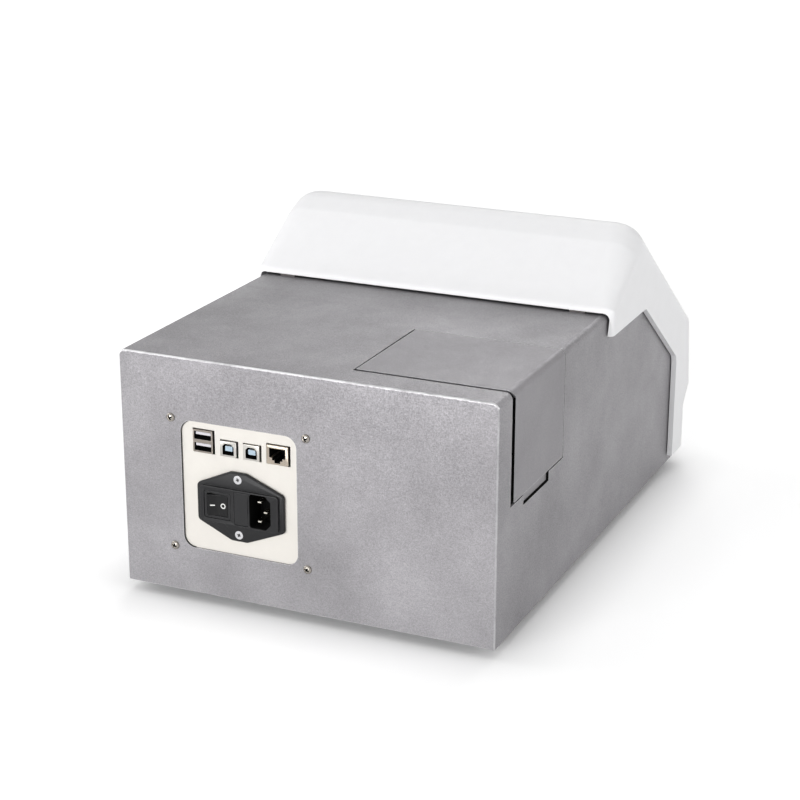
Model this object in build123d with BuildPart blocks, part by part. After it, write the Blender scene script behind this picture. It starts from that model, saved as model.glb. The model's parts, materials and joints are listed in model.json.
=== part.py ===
from build123d import *
import os
from math import cos, hypot, radians, sin, tan

os.makedirs("parts", exist_ok=True)

# A bench-top microplate reader. Millimetres, +Z up, the front faces -Y.
# The origin is on the table under the middle of the overall box.
# "Depth" runs forward from the rear face; "height" runs up from the case's underside.

# Case
case_w = 276.0
half_w = case_w / 2
case_h = 169.5
total_d = 422.0
case_d = total_d - 24.0
case_fall = total_d - 122.0
sheet = 1.5
bend_r = 5.0
fold_r = 1.6
flange_w = 14.0
foot_h = 8.0
deck_t = 2.0
fit_gap = 0.3

# Front cover
cover_side = 5.0
cover_wall = 3.0
cover_air = 2.0
lip_depth = total_d - 215.3
lip_air = 2.5
rear_slope_deg = 38.9
crease_depth = total_d - 169.4
ridge_slope_deg = 30.4
front_slope_deg = 37.9
brow_depth = total_d - 5.3
chin_depth = total_d
chin_h = 58.0
toe_depth = total_d - 12.0
step_h = 46.0
toe_h = 6.0
round_r = 13.0
crease_r = 16.0
ridge_r = 18.8
skirt_h = 154.0
skirt_depth = lip_depth + 3.3
skirt_peak_depth = crease_depth + 34.4
knee_depth = total_d - 46.5
knee_h = 90.0
knee_r = 10.0

# Lamp access cover
access_side_gap = 1.5
access_rear = 25.0
access_front = 121.7
access_inner = 27.5
access_bottom = 92.4
access_rear_gap = 2.0
access_front_gap = 0.7
access_corner_r = 1.5
notch_rear = 46.5
notch_front = 94.5
notch_bottom = 84.5
hinge_in = 9.5
hinge_down = 5.0
hinge_pin_r = 1.25
hinge_boss_r = 2.6
arm_w = 6.0
arm_t = 2.5
arm_drop = 10.0
hinge_run = 0.06
hinge_inset = 14.0

# Rear window and connector plate
window_x0 = 4.5
window_x1 = 91.8
window_z0 = 33.2
window_z1 = 125.4
window_r = 8.5
plate_t = 1.5
plate_margin = 14.0
corner_screw_dx = 7.2
corner_screw_dz = 0.6
m3_r = 1.5
m3_clear = 0.2
m3_head_r = 3.1
m3_head_t = 2.0
cross_w = 0.9

# Mains module, measured from its own centre
inlet_x = 46.8
inlet_h = 69.0
inlet_w = 66.0
inlet_edge_h = 26.6
inlet_tip_h = 50.0
inlet_tip_w = 12.0
inlet_flange_t = 3.0
inlet_body_w = 60.0
inlet_body_h = 27.0
inlet_raise = 2.0
inlet_depth = 28.0
inlet_wall = 1.5
screw_pitch = 40.0
inlet_screw_x = 1.4
socket_x = -16.0
socket_w = 16.1
socket_h = 24.4
socket_depth = 17.0
socket_cut = 4.0
pin_w = 4.0
pin_t = 2.0
pin_pitch = 14.0
earth_in = 3.5
pin_len = 16.0
fuse_x = -1.6
fuse_w = 10.5
fuse_h = 23.8
drawer_depth = 20.0
fuse_r = 2.5
fuse_len = 20.0
rocker_x = 16.4
rocker_well_w = 17.4
rocker_half = 7.75
rocker_h = 18.1
rocker_crown = 4.0
rocker_dip = 2.6
rocker_tilt_deg = 10.0
rocker_axis_in = 3.0
trunnion_r = 1.5
slot_gap = 0.35

# Connectors on the main board: centre x, width, height
board_h = 103.7
board_t = 1.6
board_x0 = -6.0
board_x1 = 104.0
board_rear = 4.5
board_front = 124.0
port_proud = 1.0
port_gap = 0.4
usb_a_x = 75.2
usb_a_w = 15.0
usb_a_h = 16.2
usb_a_len = 17.5
usb_b_x = (55.9, 38.5)
usb_b_w = 12.1
usb_b_h = 11.0
usb_b_len = 16.0
lan_x = 18.95
lan_w = 16.2
lan_h = 13.6
lan_len = 18.0
shell_t = 0.6

# Board tray and spacers
tray_h = 96.0
tray_t = 1.5
tray_x0 = -12.0
tray_x1 = half_w - 4.0
tray_rear = 12.0
tray_front = 126.0
pillar_r = 4.0
pillar_x = (-6.0, half_w - 14.0)
pillar_depth = (20.0, 82.0)
spacer_r = 3.0
power_x = half_w - 33.0
power_w = 51.0
power_depth = 150.0
power_len = 102.0
power_lift = 6.0

# Plate transport
microplate_w = 85.5
microplate_len = 127.8
microplate_h = 14.4
nest_gap = 0.3
well_pitch = 9.0
channels = 8
rod_r = 3.0
rod_x = 46.0
rod_lift = 7.5
bush_r = 5.0
bush_len = 12.0
bush_run = 0.05
press_gap = 0.02
carrier_lift = 6.0
carrier_t = 3.0
carrier_w = 104.0
rim_t = 2.5
rim_h = 5.0
nest_front = toe_depth - 7.0
carrier_rear = nest_front - 215.0
bush_depth = (carrier_rear + 8.0, carrier_rear + 50.0)
ledge = 5.0
block_t = 8.0
block_depth = (80.0, case_d - 10.0)
block_top = 4.4
bulkhead_depth = case_d - 2.0
bulkhead_h = 88.0
slot_margin = 4.0
drawer_gap = 0.6
drawer_drop = 1.0
sill_h = 0.5

# Belt drive
belt_x = 61.0
belt_w = 6.0
belt_t = 1.4
pulley_r = 6.1
belt_gap = 0.3
flange_r = 8.5
pulley_flange_t = 0.8
axle_lift = 18.0
drive_depth = 66.0
idler_depth = case_d - 20.0
shaft_r = 2.5
motor_size = 35.2
motor_len = 26.0
bracket_t = 2.5
clamp_depth = carrier_rear + 27.0
clamp_len = 20.0

# Optics
head_depth = nest_front - 113.7
head_len = 20.0
head_clear = 3.0
head_h = 24.0
head_leg_x = 70.0
head_leg_w = 9.0
lens_r = 3.5
guide_r = 1.0
guide_pitch = 2.8
wheel_x = 60.0 - half_w
wheel_h = 88.0
wheel_r = 42.0
wheel_t = 4.0
filter_r = 6.0
filter_pcd_r = 30.0
filter_count = 8
optics_plate_depth = 112.0
wheel_depth = optics_plate_depth - 8.0
optics_plate_t = 3.0
optics_plate_x0 = wheel_x - 44.0
optics_plate_x1 = wheel_x + 40.0
optics_foot_x = wheel_x + 20.0
collector_w = 26.0
collector_h = 10.0
collector_len = 22.0
lamp_depth = optics_plate_depth - 39.0
lamp_w = 40.0
lamp_len = 42.0
lamp_h = 40.0
lamp_bore_r = 9.0
beam_r = 8.0
bulb_r = 5.5
shelf_h = 96.5
shelf_x0 = wheel_x - 43.0
shelf_x1 = wheel_x + 17.0
shelf_len = 48.0
fan_size = 50.0
fan_t = 12.0
fan_r = 23.5
fan_pin_r = 1.5

# Display
screen_w = 184.0
screen_h = 116.0
glass_t = 1.2
lcd_w = 166.0
lcd_h = 102.0
lcd_t = 6.0
lcd_view_w = 156.0
lcd_view_h = 88.0
display_lift = 3.0
drawer_width = 111.0

# Derived places
rocker_tilt = radians(rocker_tilt_deg)
rocker_rise = rocker_half * sin(rocker_tilt) + rocker_crown * cos(rocker_tilt) - rocker_axis_in
rear_proud = inlet_flange_t + inlet_raise + rocker_rise - sheet
rear_y = (chin_depth - rear_proud) / 2
base_z = foot_h
top_z = base_z + case_h
deck_z = base_z + sheet + deck_t
cover_x = half_w + cover_side
inner_cover_x = half_w + cover_air
rod_z = deck_z + rod_lift
carrier_z = rod_z + carrier_lift
ledge_z = carrier_z + carrier_t
head_z = ledge_z + microplate_h + head_clear
axle_z = deck_z + axle_lift
window_x = (window_x0 + window_x1) / 2
window_z = base_z + (window_z0 + window_z1) / 2
board_z = base_z + board_h
inlet_z = base_z + inlet_h
hinge_x = -access_inner + hinge_in
hinge_z = top_z - hinge_down
slot_z0 = carrier_z - drawer_gap - drawer_drop
slot_z1 = ledge_z + microplate_h + slot_margin
slot_x = drawer_width / 2 + drawer_gap
optical_x = wheel_x
optical_z = base_z + wheel_h + filter_pcd_r
channel_x = [well_pitch * (i - (channels - 1) / 2) for i in range(channels)]


def at_depth(depth):
    """Plane parallel to the rear face, looking forward, with x and z as its axes."""
    return Plane(origin=(0, rear_y - depth, 0), x_dir=(1, 0, 0), z_dir=(0, -1, 0))


def spot(x, depth, z):
    """A point from its x, its depth from the rear face and its z."""
    return (x, rear_y - depth, z)


def profile(points):
    """Depth and height pairs as points of the side-view plane."""
    return [(rear_y - d, base_z + h) for d, h in points]


def line_meet(p, deg_p, q, deg_q):
    """Where two sloping lines of the side view meet."""
    a, b = tan(radians(deg_p)), tan(radians(deg_q))
    d = (q[1] - p[1] + a * p[0] - b * q[0]) / (a - b)
    return (d, p[1] + a * (d - p[0]))


def inset(points, t):
    """An open run of points moved sideways by t, corners kept sharp."""
    moved = []
    for (x0, y0), (x1, y1) in zip(points, points[1:]):
        run = hypot(x1 - x0, y1 - y0)
        nx, ny = (y1 - y0) / run * t, -(x1 - x0) / run * t
        moved.append(((x0 + nx, y0 + ny), (x1 + nx, y1 + ny)))
    out = [moved[0][0]]
    for (a, b), (c, d) in zip(moved, moved[1:]):
        ux, uy, vx, vy = b[0] - a[0], b[1] - a[1], d[0] - c[0], d[1] - c[1]
        k = ((c[0] - a[0]) * vy - (c[1] - a[1]) * vx) / (ux * vy - uy * vx)
        out.append((a[0] + k * ux, a[1] + k * uy))
    return out + [moved[-1][1]]


# Case shell: top, sides and rear as one welded and folded sheet, with in-turned bottom flanges
with BuildPart() as case_shell:
    with BuildSketch(at_depth(0)):
        with Locations((0, base_z + case_h / 2)):
            outline = Rectangle(case_w, case_h)
        fillet(outline.vertices().group_by(Axis.Y)[-1], bend_r)
    extrude(amount=case_d)
    rear_edges = case_shell.faces().sort_by(Axis.Y)[-1].edges()
    fillet(rear_edges.sort_by(Axis.Z)[1:], fold_r)
    with BuildSketch(at_depth(sheet)):
        with Locations((0, base_z + case_h / 2)):
            hollow = Rectangle(case_w - 2 * sheet, case_h - 2 * sheet)
        fillet(hollow.vertices().group_by(Axis.Y)[-1], bend_r - sheet)
    extrude(amount=case_d, mode=Mode.SUBTRACT)
    with BuildSketch(Plane.XY.offset(base_z)):
        with Locations((0, rear_y - case_d / 2 - flange_w)):
            Rectangle(case_w - 2 * flange_w, case_d)
    extrude(amount=sheet, mode=Mode.SUBTRACT)
    slope_h = case_h - (case_d - case_fall) * tan(radians(front_slope_deg))
    with BuildSketch(Plane.YZ.offset(-half_w)):
        with BuildLine():
            Polyline(
                profile(
                    [
                        (case_fall, case_h),
                        (case_d, slope_h),
                        (case_d + 1, case_h + 1),
                        (case_fall, case_h + 1),
                    ]
                ),
                close=True,
            )
        make_face()
    extrude(amount=case_w, mode=Mode.SUBTRACT)
    with BuildSketch(at_depth(0)):
        with Locations((window_x, window_z)):
            RectangleRounded(window_x1 - window_x0, window_z1 - window_z0, window_r)
            with GridLocations(
                window_x1 - window_x0 + 2 * corner_screw_dx, window_z1 - window_z0 + 2 * corner_screw_dz, 2, 2
            ):
                Circle(m3_r + m3_clear)
    extrude(amount=sheet, mode=Mode.SUBTRACT)
    access_d0 = access_rear - access_rear_gap
    access_d1 = access_front + access_front_gap
    access_len = access_d1 - access_d0
    with Locations(spot(-access_inner + access_side_gap, access_d0, base_z + access_bottom - 1)):
        Box(half_w, access_len, case_h, align=(Align.MAX, Align.MAX, Align.MIN), mode=Mode.SUBTRACT)
    with Locations(spot(-half_w, notch_rear, base_z + notch_bottom)):
        Box(
            3 * sheet,
            notch_front - notch_rear,
            access_bottom - notch_bottom,
            align=(Align.CENTER, Align.MAX, Align.MIN),
            mode=Mode.SUBTRACT,
        )
    screw_in = half_w - flange_w / 2
    flange_screws = [(s * screw_in, d) for s in (-1, 1) for d in (24, case_d / 2 + 1, case_d - 22)]
    flange_screws += [(s * 60, flange_w / 2) for s in (-1, 1)]
    with Locations(*[spot(x, d, base_z) for x, d in flange_screws]):
        Cylinder(m3_r + m3_clear, 3 * sheet, mode=Mode.SUBTRACT)
    pad_spots = [(crease_depth - 17.6, 161.0), (case_d - 11.0, 40.0)]
    with Locations(*[spot(s * half_w, d, base_z + h) for s in (-1, 1) for d, h in pad_spots]):
        Cylinder(m3_r + m3_clear, 4 * sheet, rotation=(0, 90, 0), mode=Mode.SUBTRACT)
case_shell.part.label = "case_shell"
export_step(case_shell.part, "parts/case_shell.step")

# Base plate: the flat floor that everything inside stands on
foot_spots = [(s * (half_w - 38), d) for s in (-1, 1) for d in (44, case_d - 48)]
stem_r = 2.5
fan_x = (shelf_x0 + shelf_x1) / 2
with BuildPart() as base_plate:
    with BuildSketch(Plane.XY.offset(base_z + sheet)):
        with Locations((0, rear_y - (sheet + fit_gap + case_d) / 2)):
            Rectangle(case_w - 2 * sheet - 2 * fit_gap, case_d - sheet - fit_gap)
        with Locations(*[spot(x, d, 0)[:2] for x, d in foot_spots]):
            Circle(stem_r, mode=Mode.SUBTRACT)
        with Locations(*[spot(x, d, 0)[:2] for x, d in flange_screws]):
            Circle(m3_r, mode=Mode.SUBTRACT)
        with Locations(spot(fan_x, lamp_depth, 0)[:2]):
            with GridLocations(0, 7, 1, 5):
                SlotOverall(34, 3.5, mode=Mode.SUBTRACT)
        with Locations(spot(power_x, power_depth, 0)[:2]):
            with GridLocations(0, 9, 1, 6):
                SlotOverall(30, 3.5, mode=Mode.SUBTRACT)
    extrude(amount=deck_t)
base_plate.part.label = "base_plate"
export_step(base_plate.part, "parts/base_plate.step")

# Case screws: eight up through the flanges, four sideways into the front cover's pads
with BuildPart() as case_screws:
    with Locations(*[spot(x, d, base_z - m3_head_t) for x, d in flange_screws]):
        Cylinder(m3_head_r, m3_head_t, align=(Align.CENTER, Align.CENTER, Align.MIN))
        Cylinder(m3_r, m3_head_t + sheet + deck_t + 0.8, align=(Align.CENTER, Align.CENTER, Align.MIN))
    for side in (-1, 1):
        turned = (0, 90 * side, 0)
        with Locations(*[spot(side * (half_w - sheet - m3_head_t), d, base_z + h) for d, h in pad_spots]):
            Cylinder(m3_head_r, m3_head_t, rotation=turned, align=(Align.CENTER, Align.CENTER, Align.MIN))
            Cylinder(
                m3_r,
                m3_head_t + sheet + cover_air + cover_wall - 1,
                rotation=turned,
                align=(Align.CENTER, Align.CENTER, Align.MIN),
            )
case_screws.part.label = "case_screws"
export_step(case_screws.part, "parts/case_screws.step")

# Rubber feet: four push-in buffers
with BuildPart() as rubber_feet:
    with Locations(*[spot(x, d, 0) for x, d in foot_spots]):
        Cone(8.5, 10, foot_h + sheet, align=(Align.CENTER, Align.CENTER, Align.MIN))
        Cylinder(stem_r, foot_h + sheet + deck_t, align=(Align.CENTER, Align.CENTER, Align.MIN))
    fillet(rubber_feet.faces().filter_by(Axis.Z).group_by(Axis.Z)[0].edges(), 1.0)
rubber_feet.part.label = "rubber_feet"
export_step(rubber_feet.part, "parts/rubber_feet.step")

# Finger recess: a shallow cup behind the notch, open to the outside
recess_t = 1.0
recess_deep = 12.0
recess_top = access_bottom + 11
with BuildPart() as finger_recess:
    with BuildSketch(Plane.YZ.offset(-half_w + sheet)):
        with Locations((rear_y - (notch_rear + notch_front) / 2, base_z + (notch_bottom + recess_top) / 2)):
            Rectangle(notch_front - notch_rear + 2 * recess_t, recess_top - notch_bottom + 2 * recess_t)
    extrude(amount=recess_deep)
    with BuildSketch(Plane.YZ.offset(-half_w + sheet)):
        with Locations((rear_y - (notch_rear + notch_front) / 2, base_z + (notch_bottom + recess_top) / 2)):
            Rectangle(notch_front - notch_rear, recess_top - notch_bottom)
    extrude(amount=recess_deep - recess_t, mode=Mode.SUBTRACT)
    with Locations((-half_w + sheet, rear_y - (notch_rear + notch_front) / 2, base_z + access_bottom - 1)):
        Box(
            2 * fit_gap,
            2 * (notch_front - notch_rear),
            2 * recess_deep,
            align=(Align.CENTER, Align.CENTER, Align.MIN),
            mode=Mode.SUBTRACT,
        )
finger_recess.part.label = "finger_recess"
export_step(finger_recess.part, "parts/finger_recess.step")

# Lamp access cover: an L-shaped panel with two gooseneck hinge arms welded under its inner edge
access_plane = at_depth(access_rear)
arm_spots = (access_rear + hinge_inset, access_front - hinge_inset)
with BuildPart() as access_cover:
    with BuildSketch(access_plane):
        with BuildLine():
            corner = FilletPolyline(
                (-access_inner, top_z),
                (-half_w, top_z),
                (-half_w, base_z + access_bottom),
                radius=bend_r,
            )
            inner = FilletPolyline(
                (-access_inner, top_z - sheet),
                (-half_w + sheet, top_z - sheet),
                (-half_w + sheet, base_z + access_bottom),
                radius=bend_r - sheet,
            )
            Line(corner @ 0, inner @ 0)
            Line(corner @ 1, inner @ 1)
        make_face()
    extrude(amount=access_front - access_rear)
    free_corners = access_cover.edges().filter_by(Axis.X).group_by(Axis.Z)[0]
    fillet(free_corners, access_corner_r)
    for depth in arm_spots:
        with BuildSketch(at_depth(depth - arm_w / 2)):
            with BuildLine():
                Polyline(
                    (-access_inner - arm_t - arm_t, top_z - sheet),
                    (-access_inner - arm_t - arm_t, hinge_z - arm_drop - arm_t),
                    (hinge_x + hinge_boss_r, hinge_z - arm_drop - arm_t),
                    (hinge_x + hinge_boss_r, hinge_z),
                    (hinge_x - hinge_boss_r, hinge_z),
                    (hinge_x - hinge_boss_r, hinge_z - arm_drop),
                    (-access_inner - arm_t, hinge_z - arm_drop),
                    (-access_inner - arm_t, top_z - sheet),
                    close=True,
                )
            make_face()
            with Locations((hinge_x, hinge_z)):
                Circle(hinge_boss_r)
                Circle(hinge_pin_r + hinge_run, mode=Mode.SUBTRACT)
        extrude(amount=arm_w)
access_cover.part.label = "access_cover"
export_step(access_cover.part, "parts/access_cover.step")

# Hinge brackets: two ears and a web under the case top at each arm
ear_t = 2.0
ear_gap = 0.5
with BuildPart() as hinge_brackets:
    for depth in arm_spots:
        with BuildSketch(at_depth(depth - arm_w / 2 - ear_gap - ear_t)):
            with BuildLine():
                Polyline(
                    (hinge_x - hinge_boss_r - 1, top_z - sheet),
                    (hinge_x - hinge_boss_r - 1, hinge_z - hinge_boss_r - 1),
                    (hinge_x + 7, hinge_z - hinge_boss_r - 1),
                    (hinge_x + 7, top_z - sheet),
                    close=True,
                )
            make_face()
            with Locations((hinge_x, hinge_z)):
                Circle(hinge_pin_r + press_gap, mode=Mode.SUBTRACT)
        extrude(amount=arm_w + 2 * ear_gap + 2 * ear_t)
        with Locations(spot(hinge_x + 5, depth, hinge_z)):
            Box(
                20,
                arm_w + 2 * ear_gap,
                20,
                align=(Align.MAX, Align.CENTER, Align.CENTER),
                mode=Mode.SUBTRACT,
            )
hinge_brackets.part.label = "hinge_brackets"
export_step(hinge_brackets.part, "parts/hinge_brackets.step")

# Hinge pins
with BuildPart() as hinge_pins:
    for depth in arm_spots:
        with BuildSketch(at_depth(depth - arm_w / 2 - ear_gap - ear_t - 0.8)):
            with Locations((hinge_x, hinge_z)):
                Circle(hinge_pin_r)
        extrude(amount=arm_w + 2 * ear_gap + 2 * ear_t + 1.6)
hinge_pins.part.label = "hinge_pins"
export_step(hinge_pins.part, "parts/hinge_pins.step")

# Front cover: a moulded shell that wraps the front, with a sloped rear, a ridge and a sloped face
lip_h = case_h + lip_air
brow_h = chin_h + 56.7
rear_line = (lip_depth, lip_h + 2.0)
crease = (crease_depth, rear_line[1] + (crease_depth - lip_depth) * tan(radians(rear_slope_deg)))
ridge = line_meet(crease, ridge_slope_deg, (brow_depth, brow_h), -front_slope_deg)
outline_points = [
    rear_line,
    crease,
    ridge,
    (brow_depth, brow_h),
    (chin_depth, chin_h),
    (toe_depth, step_h),
    (toe_depth, toe_h),
]
inner_points = inset(outline_points, cover_wall)
far_depth = lip_depth - 60


def drawn_back(point):
    """The point where the rear slope through a point reaches the far depth."""
    return (far_depth, point[1] - (point[0] - far_depth) * tan(radians(rear_slope_deg)))


def side_rounds(solid, x):
    """The edges of a cover solid that run over the top along both of its sides."""
    edges = solid.edges().filter_by(Axis.Z, reverse=True).filter_by(Axis.Y, reverse=True)
    return edges.filter_by(lambda e: abs(e.center().X) > x - 0.1 and e.center().Z > base_z + chin_h)


with BuildPart() as cover_hollow:
    with BuildSketch(Plane.YZ.offset(-inner_cover_x)):
        with BuildLine():
            inner_path = profile([drawn_back(inner_points[0])] + inner_points[1:])
            start, bend, top, brow, chin, step, toe = inner_path
            upper = FilletPolyline(
                start,
                bend,
                top,
                brow,
                chin,
                radius=[crease_r - cover_wall, ridge_r - cover_wall, round_r - cover_wall],
            )
            low = base_z - cover_wall
            Polyline(upper @ 1, step, toe, (toe[0], low), (start[0], low), start)
        make_face()
    extrude(amount=2 * inner_cover_x)
    fillet(side_rounds(cover_hollow, inner_cover_x), round_r - cover_wall)

slope_mid = (
    (ridge[0] + brow_depth) / 2 + 3.0,
    (ridge[1] + brow_h) / 2 - 3.0 * tan(radians(front_slope_deg)),
)
tilt = radians(front_slope_deg)
face_plane = Plane(
    origin=spot(0, slope_mid[0], base_z + slope_mid[1]),
    x_dir=(1, 0, 0),
    z_dir=(0, -sin(tilt), cos(tilt)),
)

with BuildPart() as front_cover:
    with BuildSketch(Plane.YZ.offset(-cover_x)):
        with BuildLine():
            start, bend, top, brow, chin, step, toe = profile([drawn_back(rear_line)] + outline_points[1:])
            upper = FilletPolyline(start, bend, top, brow, chin, radius=[crease_r, ridge_r, round_r])
            Polyline(upper @ 1, step, toe, (start[0], toe[1]), start)
        make_face()
    extrude(amount=2 * cover_x)
    fillet(side_rounds(front_cover, cover_x), round_r)
    toe_edges = front_cover.edges().filter_by(Axis.Z).sort_by(Axis.Y)[:2]
    fillet(toe_edges, round_r - cover_wall)
    add(cover_hollow.part, mode=Mode.SUBTRACT)
    with BuildSketch(Plane.YZ.offset(-cover_x)):
        with BuildLine():
            skirt = FilletPolyline(
                profile(
                    [
                        (skirt_depth, lip_h),
                        (skirt_depth, skirt_h),
                        (skirt_peak_depth, skirt_h),
                        (knee_depth, knee_h),
                        (knee_depth, -cover_wall),
                    ]
                ),
                radius=[2.0, 2.0, knee_r],
            )
            lip_y = rear_y - lip_depth
            Polyline(skirt @ 1, (lip_y, low), (lip_y, base_z + lip_h), skirt @ 0)
        make_face()
    extrude(amount=2 * cover_x, mode=Mode.SUBTRACT)
    with Locations(spot(0, lip_depth, low)):
        Box(2 * cover_x, case_d, case_d, align=(Align.CENTER, Align.MIN, Align.MIN), mode=Mode.SUBTRACT)
    with BuildSketch(face_plane):
        RectangleRounded(screen_w + 2 * fit_gap, screen_h + 2 * fit_gap, 5)
    extrude(amount=-glass_t, mode=Mode.SUBTRACT)
    with BuildSketch(face_plane):
        RectangleRounded(lcd_view_w, lcd_view_h, 2)
    extrude(amount=-2 * cover_wall, mode=Mode.SUBTRACT)
    with BuildSketch(at_depth(toe_depth - 2 * cover_wall)):
        with Locations((0, (slot_z0 + slot_z1) / 2)):
            Rectangle(2 * slot_x, slot_z1 - slot_z0)
    extrude(amount=4 * cover_wall, mode=Mode.SUBTRACT)
    for side in (-1, 1):
        with Locations(*[spot(side * half_w, d, base_z + h) for d, h in pad_spots]):
            Cylinder(
                4.5,
                cover_air + 1,
                rotation=(0, 90 * side, 0),
                align=(Align.CENTER, Align.CENTER, Align.MIN),
            )
        with Locations(*[spot(side * half_w, d, base_z + h) for d, h in pad_spots]):
            Cylinder(
                m3_r,
                cover_air + cover_wall - 1,
                rotation=(0, 90 * side, 0),
                align=(Align.CENTER, Align.CENTER, Align.MIN),
                mode=Mode.SUBTRACT,
            )
front_cover.part.label = "front_cover"
export_step(front_cover.part, "parts/front_cover.step")

# Lip pads: two grey buffers in the gap between the cover's rear lip and the case top
pad_x = half_w - 22.0
with BuildPart() as lip_pads:
    with Locations(*[spot(s * pad_x, lip_depth + 1.2, top_z) for s in (-1, 1)]):
        Box(12, 2.0, lip_air, align=(Align.CENTER, Align.CENTER, Align.MIN))
lip_pads.part.label = "lip_pads"
export_step(lip_pads.part, "parts/lip_pads.step")

# Front bulkhead: an upright sheet with the plate slot, on a foot that turns back over the deck
with BuildPart() as front_bulkhead:
    with BuildSketch(at_depth(bulkhead_depth - sheet)):
        with Locations((0, (deck_z + base_z + bulkhead_h) / 2)):
            Rectangle(case_w - 2 * sheet - 2 * fit_gap, base_z + bulkhead_h - deck_z)
        with Locations((0, (slot_z0 + slot_z1) / 2)):
            Rectangle(2 * slot_x, slot_z1 - slot_z0, mode=Mode.SUBTRACT)
    extrude(amount=sheet)
    with Locations(spot(0, bulkhead_depth, deck_z)):
        Box(
            case_w - 2 * sheet - 2 * fit_gap,
            sheet + 1.8,
            sheet,
            align=(Align.CENTER, Align.MIN, Align.MIN),
        )
front_bulkhead.part.label = "front_bulkhead"
export_step(front_bulkhead.part, "parts/front_bulkhead.step")

# Touch glass, seated flush in the sloped face
with BuildPart() as touch_glass:
    with BuildSketch(face_plane.offset(-glass_t)):
        RectangleRounded(screen_w, screen_h, 5 - fit_gap)
    extrude(amount=glass_t)
touch_glass.part.label = "touch_glass"
export_step(touch_glass.part, "parts/touch_glass.step")

# Display panel, behind the cover's wall, with four bosses for its board
boss_dx, boss_dy = lcd_w - 24, lcd_h - 20
with BuildPart() as display_panel:
    with BuildSketch(face_plane.offset(-cover_wall)):
        Rectangle(lcd_w, lcd_h)
    extrude(amount=-lcd_t)
    with BuildSketch(face_plane.offset(-glass_t)):
        Rectangle(lcd_view_w - 2, lcd_view_h - 2)
    extrude(amount=-cover_wall)
    with BuildSketch(face_plane.offset(-cover_wall - lcd_t)):
        with GridLocations(boss_dx, boss_dy, 2, 2):
            Circle(spacer_r)
    extrude(amount=-display_lift)
display_panel.part.label = "display_panel"
export_step(display_panel.part, "parts/display_panel.step")

# Display board with its driver chips
with BuildPart() as display_board:
    with BuildSketch(face_plane.offset(-cover_wall - lcd_t - display_lift)):
        Rectangle(lcd_w - 16, lcd_h - 12)
    extrude(amount=-board_t)
    with BuildSketch(face_plane.offset(-cover_wall - lcd_t - display_lift - board_t)):
        with GridLocations(46, 0, 3, 1):
            Rectangle(16, 16)
        with Locations((0, -30)):
            Rectangle(50, 6)
    extrude(amount=-2.0)
display_board.part.label = "display_board"
export_step(display_board.part, "parts/display_board.step")

# Connector plate behind the rear window
plate_w = window_x1 - window_x0 + 2 * plate_margin
plate_h = window_z1 - window_z0 + 2 * plate_margin
screw_dx = window_x1 - window_x0 + 2 * corner_screw_dx
screw_dz = window_z1 - window_z0 + 2 * corner_screw_dz
ports = [(usb_a_x, usb_a_w, usb_a_h)] + [(x, usb_b_w, usb_b_h) for x in usb_b_x] + [(lan_x, lan_w, lan_h)]
with BuildPart() as io_plate:
    with BuildSketch(at_depth(sheet)):
        with Locations((window_x, window_z)):
            RectangleRounded(plate_w, plate_h, 3)
            with GridLocations(screw_dx, screw_dz, 2, 2):
                Circle(m3_r, mode=Mode.SUBTRACT)
        for x, w, h in ports:
            with Locations((x, board_z + h / 2)):
                Rectangle(w + 2 * port_gap, h + 2 * port_gap, mode=Mode.SUBTRACT)
        with Locations((inlet_x, inlet_z)):
            Rectangle(inlet_body_w, inlet_body_h, mode=Mode.SUBTRACT)
        with Locations((inlet_x + inlet_screw_x, inlet_z)):
            with GridLocations(0, screw_pitch, 1, 2):
                Circle(m3_r, mode=Mode.SUBTRACT)
    extrude(amount=plate_t)
io_plate.part.label = "io_plate"
export_step(io_plate.part, "parts/io_plate.step")

# Connector plate screws: four cross-recessed pan heads on the rear panel
with BuildPart() as io_plate_screws:
    with BuildSketch(at_depth(0)):
        with Locations((window_x, window_z)):
            with GridLocations(screw_dx, screw_dz, 2, 2):
                Circle(m3_head_r)
    extrude(amount=-m3_head_t)
    fillet(io_plate_screws.faces().sort_by(Axis.Y)[-4:].edges(), 1.0)
    with BuildSketch(at_depth(-m3_head_t)):
        with Locations((window_x, window_z)):
            with GridLocations(screw_dx, screw_dz, 2, 2):
                Rectangle(3.6, cross_w)
                Rectangle(cross_w, 3.6)
    extrude(amount=1.1, mode=Mode.SUBTRACT)
    with BuildSketch(at_depth(0)):
        with Locations((window_x, window_z)):
            with GridLocations(screw_dx, screw_dz, 2, 2):
                Circle(m3_r)
    extrude(amount=sheet + plate_t + 2)
io_plate_screws.part.label = "io_plate_screws"
export_step(io_plate_screws.part, "parts/io_plate_screws.step")

# Main board
with BuildPart() as main_board:
    with BuildSketch(Plane.XY.offset(board_z - board_t)):
        with Locations(spot((board_x0 + board_x1) / 2, (board_rear + board_front) / 2, 0)[:2]):
            RectangleRounded(board_x1 - board_x0, board_front - board_rear, 2)
    extrude(amount=board_t)
main_board.part.label = "main_board"
export_step(main_board.part, "parts/main_board.step")

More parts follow.
